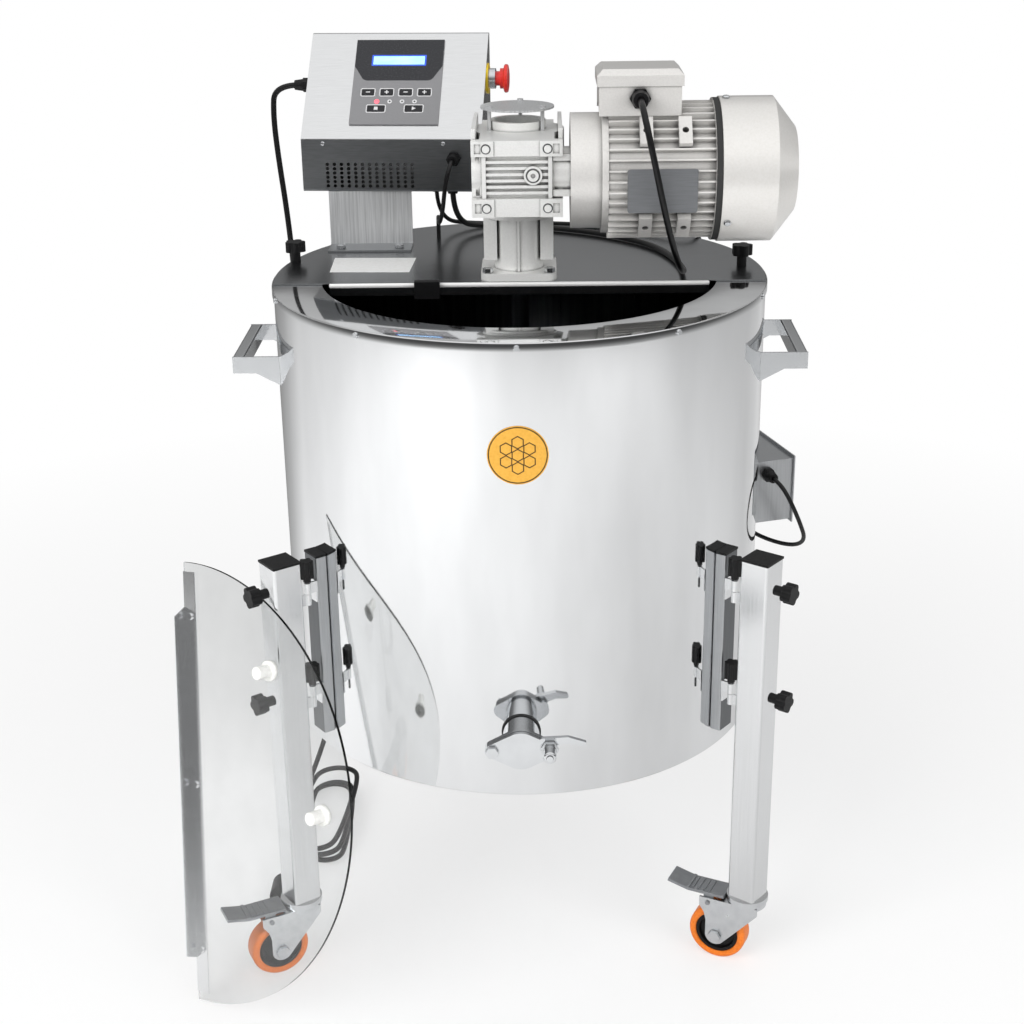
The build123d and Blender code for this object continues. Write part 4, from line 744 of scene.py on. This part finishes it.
@dataclass
class Drive:
    """Gearbox, motor and stirrer."""
    axis_y: float = -63.0
    axis_z: float = 1062.0
    plate_x: Point = (134.0, 219.0)
    plate_z: Point = (1025.0, 1078.0)
    motor_r: float = 84.0
    plate_sink: float = 0.2
    gland: Point = (-105.6, 1169.8)
    gap_x: float = 241.2
    gap_r: Point = (70.0, 87.4)
    gap_w: float = 7.5
    screw_x: float = 38.0
    screw_y: float = -102.0
    screw_z: Point = (1022.75, 1096.0)
    cover_r: float = 89.0
    cover_x: float = 257.0
    cover_turns: Point = (84.0, -36.0, 204.0)
    bolt_at: float = 40.0
    bolt_y: float = 4.0
    bolt_r: float = 8.0
    bolt_z: Point = (926.2, 933.0)

    def build(self) -> None:
        """Dress the castings, and lay the blank data plate and the small fasteners on them."""
        dress("gearbox_pedestal", CAST, 1.0, [(ZINC, self.is_bolt)])
        dress("terminal_box", MOTOR_PAINT, 1.2, [(BLACK_PLASTIC, self.is_gland)])
        plain = (("gearbox_housing", CAST, 1.0), ("gearbox_cap", STREAKED, 0.6), ("worm_shaft", DARK_STEEL, 0),
                 ("worm_wheel", BRONZE, 0), ("motor_rotor", DARK_STEEL, 0), ("motor_housing", MOTOR_PAINT, 0.6),
                 ("fan_cover", COVER_PAINT, 0.8), ("stirrer", POLISHED, 0.6))
        for node, finish, edge in plain:
            dress(node, finish, edge)
        place = turn_y((0, self.axis_y - self.motor_r - self.plate_sink, 0))
        data = Bench.plate("blank_data_plate", rounded(self.plate_x, self.plate_z, 3), 0, 1.0, place)
        settle(Bench.soften(data, 0.25), ETCHED, "machine", "motor_paint")
        # A black ring of painted shade fills the gap between the motor body and the fan cover.
        place = turn_x((self.gap_x, self.axis_y, self.axis_z))
        gap = Bench.lathe("cover_gap_shade", band(*self.gap_r, 0, self.gap_w), place, 96, close=True)
        settle(Bench.smooth(gap), BLACK_RUBBER, "machine", "black_plastic")
        self.screws()

    def screws(self) -> None:
        """Turn rings of painted shade round the gearbox screws, and the screw heads on the fan cover."""
        # Thin dark rings of painted shade round the gearbox screws.
        ring = band(4.9, 6.1, 0, 0.35)
        spots = [(x, self.screw_y, z) for x in (-self.screw_x, self.screw_x) for z in self.screw_z]
        rings = [Bench.lathe("screw_shade_ring", ring, turn_y(spot), 32, close=True) for spot in spots]
        settle(Bench.join("screw_shade_rings", rings), DARK_STEEL, "machine", "motor_paint")
        seat = self.cover_r
        head = [(0, seat - 0.4), (4.6, seat - 0.4), (4.6, seat + 1.8), (3.4, seat + 3), (0, seat + 3.2)]
        axis = Matrix.Translation(Vector((self.cover_x, self.axis_y, self.axis_z)) * MM)
        turns = [Matrix.Rotation(math.radians(90 - angle), 4, "X") for angle in self.cover_turns]
        heads = [Bench.lathe("cover_screw", head, axis @ turn, 24) for turn in turns]
        settle(Bench.smooth(Bench.join("cover_screws", heads)), ZINC, "machine", "motor_paint")

    def is_bolt(self, spot: Vector) -> bool:
        """Tell whether a face of the pedestal belongs to a foot bolt."""
        reach = math.hypot(abs(spot.x) - self.bolt_at, abs(spot.y - self.bolt_y) - self.bolt_at)
        return self.bolt_z[0] < spot.z < self.bolt_z[1] and reach < self.bolt_r

    def is_gland(self, spot: Vector) -> bool:
        """Tell whether a face of the terminal box belongs to its gland."""
        return spot.y < self.gland[0] and spot.z < self.gland[1]


@dataclass
class ControlBox:
    """Sloped control box with its panel, keys, lamps and stop button."""
    at: Point = (-177.5, 165.0, 993.0)
    yaw: float = -4.5
    width: float = 251.0
    knee: float = 73.0
    top: float = 200.5
    top_y: float = 122.0
    panel_x: float = 2.5
    panel_up: float = 93.0
    panel_t: float = 2.2
    stop: Point = (125.5, 96.0, 141.5)
    keys: Sequence = ((-1.5, -18.0, 17.0), (-0.5, -18.0, 17.0), (0.5, -18.0, 17.0), (1.5, -18.0, 17.0),
                      (-1.0, -45.0, 24.0), (1.0, -45.0, 24.0))
    pitch: float = 26.5
    key_top: float = 3.0
    lamps: Sequence = (-26.2, -8.0, 9.4, 26.9)
    lamp_y: float = -33.2
    front_screws: Sequence = ((-95.0, 66.0), (73.0, 66.0))
    stand_foot: float = 919.02
    stand_bolt: float = 6.0
    stop_plate: float = 2.55
    skin: float = 0.05

    def box_frame(self) -> Matrix:
        """Frame at the middle of the lower front edge."""
        return Matrix.Translation(Vector(self.at) * MM) @ Matrix.Rotation(math.radians(self.yaw), 4, "Z")

    def panel_frame(self) -> Matrix:
        """Frame on the sloped face, Y up the slope and Z outwards."""
        slope = math.atan2(self.top - self.knee, self.top_y)
        place = self.box_frame() @ Matrix.Translation(Vector((self.panel_x, 0, self.knee)) * MM)
        return place @ Matrix.Rotation(slope, 4, "X") @ Matrix.Translation((0, self.panel_up * MM, 0))

    def build(self) -> None:
        """Dress the box and lay the print, screen, lamps and key marks on it."""
        inverse = self.box_frame().inverted()
        half = self.width / 2

        def local(spot: Vector) -> Vector:
            """Middle of a face in the box's own frame."""
            return inverse @ (spot * MM) / MM

        def disc(spot: Vector) -> bool:
            """Faces of the yellow plate behind the stop button."""
            return half + self.skin < local(spot).x < half + self.stop_plate

        def collar(spot: Vector) -> bool:
            """Faces of the collar of the stop button."""
            return local(spot).x > half + self.stop_plate

        def gland(spot: Vector) -> bool:
            """Faces of the four cable glands."""
            own = local(spot)
            return own.x < -half - self.skin or own.y < -self.skin or own.z < -self.skin

        def front(spot: Vector) -> bool:
            """Faces of the lower front wall and its vent holes, which get painted shade."""
            own = local(spot)
            return own.y < 2.1 and own.z < self.knee - 4

        zones = [(SHADED, front), (YELLOW_PLASTIC, disc), (ZINC, collar), (BLACK_PLASTIC, gland)]
        dress("control_box", BRUSHED_WIDE, 0.4, zones)
        foot = self.stand_foot
        # The foot of the stand gets the darker bracket finish as painted shade; its bolts are zinc.
        ends = [(BRACKET, lambda spot: spot.z < foot), (ZINC, lambda spot: foot < spot.z < foot + self.stand_bolt)]
        dress("control_stand", STREAKED, 0.4, ends)
        dress("control_panel", FILM_GREY, 0.2)
        head = [(0, 19), (10, 19), (14, 18.5), (14, 23), (18.4, 24.2), (19.5, 25.5), (19.5, 28)]
        head += [(18.6, 29.4), (15, 30.2), (0, 30.5)]
        stop_at = self.box_frame() @ turn_x(self.stop)
        cap = Bench.lathe("stop_cap", head, stop_at, 48)
        button = Bench.join("stop_head", [cap, Bench.lathe("stop_stem", band(0, 10, 7.4, 19), stop_at, 32)])
        settle(Bench.smooth(button), RED_PLASTIC, "stop_button", "red_plastic", "estop_button")
        screw = [(0, 0), (3.2, 0), (3.2, 0.8), (2.2, 1.9), (0, 2.2)]
        spots = [self.box_frame() @ turn_y((x, 0.2, z)) for x, z in self.front_screws]
        heads = [Bench.lathe("front_screw", screw, spot, 24) for spot in spots]
        settle(Bench.smooth(Bench.join("front_screws", heads)), ZINC, "machine", "brushed_steel")
        self.panel_print()

    def panel_print(self) -> None:
        """Lay the printed fields, screen, lamps and key marks."""
        place = self.panel_frame()
        face = self.panel_t
        dark = [(-62.0, 70.5), (-62.0, 26.0)] + arc((-42, 11.8), 10, 215, 270, 5) + arc((42, 11.8), 10, 270, 325, 5)
        dark += [(62.0, 26.0), (62.0, 70.5)]
        prints = (("panel_dark_field", dark, 0.02, 0.12, FILM_DARK),
                  ("screen_edge", rounded((-38.6, 38.6), (26.4, 44.7), 1.2), 0.14, 0.22, SCREEN_EDGE),
                  ("screen_lit", rounded((-36.2, 36.2), (28.6, 42.5), 0.6), 0.24, 0.3, SCREEN))
        for name, outline, low, high, finish in prints:
            settle(Bench.plate(name, outline, face + low, face + high, place), finish, "machine", "panel_film")
        lit, *unlit = [place @ Matrix.Translation(Vector((x, self.lamp_y, 0)) * MM) for x in self.lamps]
        rims = [Bench.lathe("lamp_rim", band(0, 3.3, face + 0.02, face + 0.2), spot, 24) for spot in unlit]
        settle(Bench.join("lamp_rims", rims), FILM_PALE, "machine", "panel_film")
        holes = [Bench.lathe("lamp_hole", band(0, 1.3, face + 0.2, face + 0.28), spot, 16) for spot in unlit]
        settle(Bench.join("lamp_holes", holes), KEY_PLASTIC, "machine", "panel_film")
        dome = [(0, face + 0.02), (3.6, face + 0.02), (3.2, face + 0.6), (1.8, face + 1.0), (0, face + 1.1)]
        settle(Bench.smooth(Bench.lathe("lamp_lit", dome, lit, 24)), LAMP_RED, "machine", "panel_film")
        borders = []
        for number, (step, up, wide) in enumerate(self.keys, 1):
            name = "key_%d" % number
            dress(name, KEY_PLASTIC, 0.25)
            x = step * self.pitch
            borders.append(self.border(x, up, wide / 2 + 1.9, 6.9, place))
            settle(self.mark(number, x, up, place), FILM_PALE, name, "key_plastic")
        settle(Bench.join("key_borders", borders), FILM_PALE, "machine", "panel_film")

    def border(self, x: float, y: float, half_w: float, half_h: float, place: Matrix) -> bpy.types.Object:
        """Make the printed line round one key as an inset ring.

        Args:
            x: middle of the key.
            y: middle of the key.
            half_w: half width of the line.
            half_h: half height of the line.
            place: panel frame.

        Returns:
            The ring.
        """
        face = self.panel_t + 0.05
        outline = rounded((x - half_w, x + half_w), (y - half_h, y + half_h), 2.6)
        obj = Bench.trace("key_border", [(px, py, face) for px, py in outline], close=True)
        bpy.ops.mesh.inset(thickness=1.3 * MM)
        bpy.ops.mesh.delete(type="FACE")
        bpy.ops.mesh.select_all(action="SELECT")
        bpy.ops.mesh.extrude_region_move(TRANSFORM_OT_translate={"value": (0, 0, 0.12 * MM)})
        return Bench.tidy(obj, place)

    def mark(self, number: int, x: float, y: float, place: Matrix) -> bpy.types.Object:
        """Make the sign on one key: minus, plus, stop or start.

        Args:
            number: key number from the left, upper row first.
            x: middle of the key.
            y: middle of the key.
            place: panel frame.

        Returns:
            The sign.
        """
        bar = [(-3, -0.8), (3, -0.8), (3, 0.8), (-3, 0.8)]
        cross = [(-3, -0.8), (-0.8, -0.8), (-0.8, -3), (0.8, -3), (0.8, -0.8), (3, -0.8),
                 (3, 0.8), (0.8, 0.8), (0.8, 3), (-0.8, 3), (-0.8, 0.8), (-3, 0.8)]
        square = [(-2.6, -2.6), (2.6, -2.6), (2.6, 2.6), (-2.6, 2.6)]
        arrow = [(-2.4, -3), (3.2, 0), (-2.4, 3)]
        shape = {1: bar, 2: cross, 3: bar, 4: cross, 5: square, 6: arrow}[number]
        outline = [(x + px, y + py) for px, py in shape]
        return Bench.plate("key_mark_%d" % number, outline, self.key_top + 0.02, self.key_top + 0.1, place)


@dataclass
class JunctionBox:
    """Wiring box on the tank wall."""
    azimuth: float = 18.0
    front: float = -60.1
    cover: float = 360.0

    def build(self) -> None:
        """Dress the box, its cover screws and the gland."""
        turn = Matrix.Rotation(-math.radians(self.azimuth), 4, "Z")

        def gland(spot: Vector) -> bool:
            """Faces of the gland on the front wall."""
            own = turn @ spot
            return own.y < self.front and own.x < self.cover

        dress("junction_box", BRACKET, 0.5, [(BLACK_PLASTIC, gland)])


@dataclass
class Legs:
    """Three hinged legs with their casters."""
    azimuths: dict = field(default_factory=lambda: {"left": -52.8, "right": 52.8, "rear": 180.0})
    headings: dict = field(default_factory=lambda: {"left": 206.8, "right": 155.2, "rear": 180.0})
    reach: float = 382.0
    trail: float = 38.0
    wheel_r: float = 40.0
    bracket_out: float = 338.0
    bracket_top: float = 601.02
    tube_z: Point = (107.98, 602.02)

    def outward(self, spot: Vector) -> float:
        """Distance of a face's middle from the tank axis along the direction of its own leg."""
        turns = [math.radians(value) for value in self.azimuths.values()]
        return max(spot.x * math.sin(turn) - spot.y * math.cos(turn) for turn in turns)

    def build(self) -> None:
        """Dress brackets, tubes, knobs and forks, and turn the wheels."""
        behind = self.bracket_out
        # The bracket face behind the hinges gets painted shade.
        zones = [(HINGE_SHADE, lambda spot: behind - 0.2 < self.outward(spot) < behind + 0.1),
                 (BRUSHED_UP, lambda spot: self.outward(spot) > behind + 0.1),
                 (BLACK_PLASTIC, lambda spot: spot.z > self.bracket_top)]
        dress("leg_brackets", BRACKET, 0.5, zones)
        dress("hinge_pins", ZINC, 0.2)
        dress("star_knobs", BLACK_PLASTIC, 1.2)
        low, high = self.tube_z
        caps = [(BLACK_PLASTIC, lambda spot: spot.z > high), (ZINC, lambda spot: spot.z < low)]
        for side in self.azimuths:
            dress("leg_tube_" + side, BRUSHED_UP, 0.5, caps)
            dress("leg_knobs_" + side, BLACK_PLASTIC, 1.2)
            for node in ("leg_tube_", "leg_knobs_"):
                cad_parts[node + side].visible_glossy = False
            dress("caster_fork_" + side, ZINC, 0.6)
            dress("brake_pedal_" + side, PEDAL_STEEL, 0.7)
            self.wheel(side)

    def wheel(self, side: str) -> None:
        """Turn one tyre and hub.

        Args:
            side: name of the leg.
        """
        angle = math.radians(self.azimuths[side])
        spot = Vector((self.reach * math.sin(angle), -self.reach * math.cos(angle), self.wheel_r)) * MM
        heading = Matrix.Rotation(math.radians(self.headings[side]), 4, "Z")
        place = Matrix.Translation(spot) @ heading @ turn_y((self.trail, 0, 0))
        r = self.wheel_r
        tyre = [(30, -12), (31, -13.4), (34.5, -14)] + arc((r - 5.5, -8.5), 5.5, -90, 0, 6)[1:]
        tyre += arc((r - 5.5, 8.5), 5.5, 0, 90, 6) + [(31, 13.4), (30, 12)]
        obj = Bench.smooth(Bench.lathe("tyre_" + side, tyre, place, 64, close=True), 50)
        settle(obj, TYRE, "wheel_" + side, "orange_tyre", "wheel_" + side)
        hub = [(5.1, -15), (11, -15), (11, -7), (24, -7), (25.5, -11.6), (30, -12), (30, 12), (25.5, 11.6), (24, 7),
               (11, 7), (11, 15), (5.1, 15)]
        obj = Bench.soften(Bench.lathe("hub_" + side, hub, place, 48, close=True), 0.6)
        settle(obj, BLACK_PLASTIC, "wheel_" + side, "black_plastic")


@dataclass
class Lid:
    """Clear half lid leaning on the left leg."""
    radius: float = 296.0
    thick: float = 4.0
    foot: Point = (-437.774, -317.607, 1.0)
    yaw: float = -39.17
    lean: float = 12.92
    tilt: float = -11.13
    knobs: Sequence = ((162.0, 167.0), (250.0, -6.0))

    def place(self) -> Matrix:
        """Frame at the middle of the straight edge, X across the sheet away from that edge and Y up along it."""
        yaw, lean, tilt = (math.radians(v) for v in (self.yaw, self.lean, self.tilt))
        along = Vector((math.cos(yaw), math.sin(yaw), 0))
        facing = Vector((math.sin(yaw), -math.cos(yaw), 0))
        rise = Vector((0, 0, 1)) * math.cos(lean) - facing * math.sin(lean)
        up = rise * math.cos(tilt) + along * math.sin(tilt)
        across = along * math.cos(tilt) - rise * math.sin(tilt)
        out = across.cross(up)
        mid = (Vector(self.foot) + up * self.radius) * MM
        turn = Matrix((across, out.cross(across), out)).transposed().to_4x4()
        return Matrix.Translation(mid) @ turn

    def build(self) -> None:
        """Cut the sheet, turn its knobs and dress the strip."""
        half = arc((0, 0), self.radius, -90, 90, 144)
        sheet = Bench.plate("lid_clear", half, -self.thick / 2, self.thick / 2, self.place())
        settle(sheet, ACRYLIC, "lid", "clear_acrylic", "lid_sheet")
        dress("lid_strip", BRUSHED_UP, 0.3)
        shape = [(0, 0), (12.8, 0), (13.5, 0.7), (13.5, 5.2), (12.7, 6), (8.5, 6)]
        shape += arc((7.0, 24.5), 1.5, 0, 90, 4) + [(3, 26), (3, 25), (0, 25)]
        turned = []
        for index, (u, v) in enumerate(self.knobs):
            spot = self.place() @ Matrix.Translation(Vector((u, v, self.thick / 2)) * MM)
            turned.append(Bench.lathe("lid_knob_%d" % index, shape, spot, 48))
        knobs = Bench.smooth(Bench.join("lid_knobs_turned", turned), 45)
        settle(knobs, WHITE_PLASTIC, "lid", "white_plastic", "lid_knobs")


@dataclass
class Cord:
    """A flexible lead along the control points of its route, in millimetres."""
    name: str
    route: Sequence[Point]
    diameter: float
    length: float
    far_end: str
    lay: str
    nodes: Sequence[str]
    carried: Sequence[str] = ()

    def build(self) -> None:
        curve = bpy.data.curves.new(self.name, "CURVE")
        curve.dimensions = "3D"
        curve.bevel_depth = self.diameter / 2 * MM
        curve.bevel_resolution = 6
        curve.use_fill_caps = True
        spline = curve.splines.new("NURBS")
        spline.points.add(len(self.route) - 1)
        for point, spot in zip(spline.points, self.route):
            point.co = (*(Vector(spot) * MM), 1)
        spline.order_u = 3
        spline.use_endpoint_u = True
        spline.resolution_u = 10
        obj = bpy.data.objects.new(self.name, curve)
        bpy.context.scene.collection.objects.link(obj)
        settle(obj, CORD_PVC, "machine", "cord_black", *self.nodes)


def leads() -> list:
    """Routes of the mains lead and of the leads between the housings.

    Returns:
        The cords.
    """
    mains = [
        (-309.7, 250.6, 1128.5), (-346.6, 253.5, 1128.5), (-350, 250, 1086), (-345, 240, 1030),
        (-335, 227, 950), (-329, 224, 850), (-326, 222, 740), (-327, 223, 630), (-325, 222, 520),
        (-327, 223, 410), (-325, 224, 300), (-321, 236, 196), (-322, 247, 104), (-340.6, 232.8, 51.8),
        (-346.9, 187.8, 45.5), (-355.9, 123.7, 36.5), (-359.3, 31.7, 35.6), (-350.6, 5.6, 34.6),
        (-325.9, -6.7, 33.7), (-299.8, 2.1, 32.8), (-287.5, 26.7, 31.9), (-278.1, 118.3, 31.0),
        (-274.7, 210.3, 30.1), (-283.4, 236.4, 29.1), (-308.1, 248.7, 28.2), (-334.2, 239.9, 27.3),
        (-346.5, 215.3, 26.4), (-354.7, 122.1, 25.5), (-354.6, 30.6, 24.6), (-343.1, 5.4, 23.6),
        (-317.2, -5.0, 22.7), (-291.6, 4.9, 21.8), (-280.5, 28.5, 20.9), (-277.4, 113.2, 20.0),
        (-282.3, 195.7, 19.1), (-292.9, 215.2, 18.1), (-315.5, 220.5, 17.2), (-336.4, 207.8, 16.3),
        (-343.4, 183.8, 15.4), (-341.7, 105.7, 14.5), (-334.8, 26.2, 13.6), (-326.1, 5.6, 12.7),
        (-305.4, -2.5, 11.7), (-285.1, 6.9, 10.8), (-277.6, 28.6, 9.9), (-277.6, 113.2, 9.0),
        (-282.7, 199.4, 8.1), (-292.0, 223.3, 7.2), (-314.6, 234.2, 6.2), (-337.3, 226.4, 5.3),
        (-347.0, 205.0, 4.4), (-358.0, 168.0, 4.4), (-361.0, 101.0, 4.4), (-360.0, 26.0, 4.4),
        (-354.0, -28.0, 18.0), (-354.0, -61.9, 18.0),
    ]
    motor = [
        (150.0, -118.5, 1156.0), (150.0, -145.5, 1156.0), (156, -168, 1128), (167, -168, 1080),
        (179, -161, 1026), (193, -138, 974), (207, -84, 936.4), (217, -10, 920.4), (208, 64, 920.4),
        (184, 138, 920.4), (134, 198, 920.4), (72, 244, 920.4), (8, 266, 920.4), (-48, 264, 921.4),
        (-96.7, 231.8, 935.0), (-96.7, 231.8, 984.0),
    ]
    heater = [
        (349.7, 36.9, 612.0), (358.1, 11.2, 612.0), (369.3, -4.1, 596.0), (385.8, -2.9, 560.0),
        (398.6, 15.9, 524.0), (383.0, 44.5, 504.0), (344.0, 80.2, 503.0), (312.2, 133.0, 508.0),
        (285.9, 174.9, 530.0), (266.1, 196.9, 590), (261.8, 200.9, 668), (264.3, 199.2, 750),
        (261.8, 200.9, 830), (261.6, 204.4, 900), (243.0, 211.3, 938), (191.6, 228.3, 926),
        (139.0, 261.4, 919.4), (66.6, 288.4, 919.4), (-10.4, 296.8, 919.4), (-67.3, 291.3, 920.4),
        (-120.9, 248.7, 935.0), (-120.9, 248.7, 984.0),
    ]
    switch = [
        (-91.4, 145.2, 1039.0), (-93.4, 120.3, 1039.0), (-101, 116, 1012), (-106, 122, 970), (-114, 160, 946),
        (-118.0, 222.0, 952), (-118.0, 222.0, 896), (-118, 140, 893), (-117, 62, 896), (-118, -2, 904.5),
        (-118, -47.8, 904.5),
    ]
    return [
        Cord("mains_cord", mains, 8.0, 3038.0, "plug", "loose", ("mains_lead", "mains_coil"), ("mains_plug",)),
        Cord("motor_cord", motor, 8.0, 894.0, "object", "loose", ("motor_lead",)),
        Cord("heater_cord", heater, 6.0, 1185.0, "object", "hanging", ("heater_lead",)),
        Cord("switch_cord", switch, 6.0, 500.0, "object", "loose", ("switch_lead",)),
    ]


@dataclass
class Studio:
    """Camera, pale floor and soft light."""
    lens: float = 60.16
    at: Point = (29.2, -2212.0, 1458.5)
    pitch: float = 21.72026
    yaw: float = -1.11944
    roll: float = -0.82363
    aim: Point = (0.0, 0.0, 0.6)

    def build(self) -> None:
        """Set up the camera, floor, world and lamps."""
        bpy.context.scene.view_settings.view_transform = "Standard"
        self.camera()
        self.floor()
        self.world()
        self.lamp("key_light", (-1.9, -2.5, 2.3), 2.2, 84)
        self.lamp("fill_light", (2.2, -2.3, 1.8), 2.0, 46)
        self.lamp("back_light", (0.6, 2.2, 3.0), 2.2, 14)

    def camera(self) -> None:
        """Place the camera at the photograph's viewpoint."""
        pitch, yaw, roll = (math.radians(v) for v in (self.pitch, self.yaw, self.roll))
        ahead = Vector((math.sin(yaw) * math.cos(pitch), math.cos(yaw) * math.cos(pitch), -math.sin(pitch)))
        side = Vector((math.cos(yaw), -math.sin(yaw), 0))
        over = side.cross(ahead)
        right = side * math.cos(roll) + over * math.sin(roll)
        up = over * math.cos(roll) - side * math.sin(roll)
        data = bpy.data.cameras.new("photo_camera")
        data.lens = self.lens
        data.sensor_width = 36
        data.clip_end = 100
        obj = bpy.data.objects.new("photo_camera", data)
        bpy.context.scene.collection.objects.link(obj)
        turn = Matrix((right, up, -ahead)).transposed().to_4x4()
        obj.matrix_world = Matrix.Translation(Vector(self.at) * MM) @ turn
        bpy.context.scene.camera = obj

    def lamp(self, name: str, at: Point, size: float, power: float) -> None:
        """Hang one square soft light that looks at the middle of the tank.

        Args:
            name: lamp name.
            at: place in metres.
            size: side in metres.
            power: watts.
        """
        data = bpy.data.lights.new(name, "AREA")
        data.shape = "SQUARE"
        data.size = size
        data.energy = power
        obj = bpy.data.objects.new(name, data)
        bpy.context.scene.collection.objects.link(obj)
        obj.location = at
        obj.rotation_euler = (Vector(self.aim) - Vector(at)).to_track_quat("-Z", "Y").to_euler()
        obj.visible_glossy = False

    @staticmethod
    def floor() -> None:
        """Lay a pale round floor: white to the eye, with soft grey sectors in the metal's reflection."""
        Bench.clear()
        bpy.ops.mesh.primitive_circle_add(vertices=96, radius=14, fill_type="NGON")
        obj = Bench.named("studio_floor")
        made = bpy.data.materials.new("matt_white_floor")
        made.use_nodes = True
        tree = made.node_tree
        tree.nodes.remove(tree.nodes["Principled BSDF"])
        place = add_node(tree, "ShaderNodeTexCoord", {}).outputs["Object"]
        parts = add_node(tree, "ShaderNodeSeparateXYZ", {}, {0: place})
        front = add_node(tree, "ShaderNodeMath", {"operation": "MULTIPLY", 1: -1.0}, {0: parts.outputs["Y"]})
        angle = add_node(tree, "ShaderNodeMath", {"operation": "ARCTAN2"},
                         {0: parts.outputs["X"], 1: front.outputs[0]})
        turn = add_range(tree, angle.outputs[0], (-math.pi, math.pi))
        sectors = [(0.0, 0.3), (0.06, 0.36), (0.12, 0.62), (0.17, 1.0), (0.27, 1.0), (0.34, 0.86), (0.5, 0.8)]
        sectors += [(0.57, 0.7), (0.64, 0.63), (0.7, 0.68), (0.76, 0.78), (0.85, 0.78), (0.91, 1.0), (1.0, 0.34)]
        round_about = add_ramp(tree, turn, sectors)
        away = add_node(tree, "ShaderNodeVectorMath", {"operation": "LENGTH"}, {0: place}).outputs["Value"]
        reach = add_range(tree, away, (0.0, 10.0))
        depth = add_ramp(tree, reach, [(0.34, 1.0), (0.43, 0.62), (0.52, 0.3), (0.66, 0.16)])
        glossy = add_mix(tree, 1.0, round_about, depth, "MULTIPLY")
        rays = add_node(tree, "ShaderNodeLightPath", {})
        tone = add_mix(tree, rays.outputs["Is Glossy Ray"], (0.92, 0.92, 0.92, 1), glossy)
        matt = add_node(tree, "ShaderNodeBsdfDiffuse", {}, {"Color": tone})
        white = add_node(tree, "ShaderNodeEmission", {"Color": (1, 1, 1, 1), "Strength": 1.0})
        fade = add_range(tree, away, (0.6, 2.2), (0.55, 1.0))
        share = add_node(tree, "ShaderNodeMath", {"operation": "MULTIPLY"}, {0: fade, 1: seen_directly(tree, rays)})
        mix = add_node(tree, "ShaderNodeMixShader", {}, {0: share.outputs[0], 1: matt.outputs[0], 2: white.outputs[0]})
        tree.links.new(mix.outputs[0], tree.nodes["Material Output"].inputs["Surface"])
        obj.data.materials.append(made)

    @staticmethod
    def world() -> None:
        """Surround the scene with white, and let the metal see a dim back wall under a bright ceiling."""
        world = bpy.data.worlds.new("studio")
        bpy.context.scene.world = world
        world.use_nodes = True
        tree = world.node_tree
        tree.nodes.remove(tree.nodes["Background"])
        place = add_node(tree, "ShaderNodeTexCoord", {})
        parts = add_node(tree, "ShaderNodeSeparateXYZ", {}, {0: place.outputs["Generated"]})
        height = parts.outputs["Z"]
        back = add_ramp(tree, height, [(0.0, 0.85), (0.04, 0.6), (0.1, 0.2), (0.235, 0.22), (0.275, 0.42),
                                       (0.36, 0.5), (0.62, 0.3), (0.8, 0.8)])
        ahead = add_ramp(tree, height, [(0.0, 0.16), (0.2, 0.2), (0.5, 0.75), (0.7, 0.95)])
        wide = add_node(tree, "ShaderNodeMath", {"operation": "ABSOLUTE"}, {0: parts.outputs["X"]})
        flank = add_ramp(tree, wide.outputs[0], [(0.0, 0.9), (0.05, 0.8), (0.11, 0.46), (0.3, 0.44), (0.6, 1.0)])
        low = add_ramp(tree, height, [(0.232, 1.0), (0.265, 0.0)])
        wall = add_mix(tree, low, back, flank, "MULTIPLY")
        side = add_range(tree, parts.outputs["Y"], (-0.25, 0.3))
        tone = add_mix(tree, side, ahead, wall)
        rays = add_node(tree, "ShaderNodeLightPath", {})
        soft = add_node(tree, "ShaderNodeBackground", {"Color": (1, 1, 1, 1), "Strength": 0.52})
        mirror = add_node(tree, "ShaderNodeBackground", {"Strength": 1.0}, {"Color": tone})
        white = add_node(tree, "ShaderNodeBackground", {"Color": (1, 1, 1, 1), "Strength": 1.0})
        first = add_node(tree, "ShaderNodeMixShader", {},
                         {0: rays.outputs["Is Glossy Ray"], 1: soft.outputs[0], 2: mirror.outputs[0]})
        last = add_node(tree, "ShaderNodeMixShader", {},
                        {0: seen_directly(tree, rays), 1: first.outputs[0], 2: white.outputs[0]})
        tree.links.new(last.outputs[0], tree.nodes["World Output"].inputs["Surface"])


def main() -> None:
    """Build the studio, the leads, the plug and the sub-assemblies in order."""
    logging.basicConfig(level=logging.INFO, format="%(name)s: %(message)s")
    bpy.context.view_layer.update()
    Studio().build()
    for lead in leads():
        lead.build()
    dress("mains_plug", BLACK_PLASTIC, 1.0, [(ZINC, lambda spot: spot.y < PLUG_PINS_Y)])
    for part in (Tank(), CoverPlate(), Drive(), ControlBox(), JunctionBox(), Legs(), Lid()):
        LOG.info("sub-assembly %s", type(part).__name__)
        part.build()


if __name__ == "__main__":
    main()
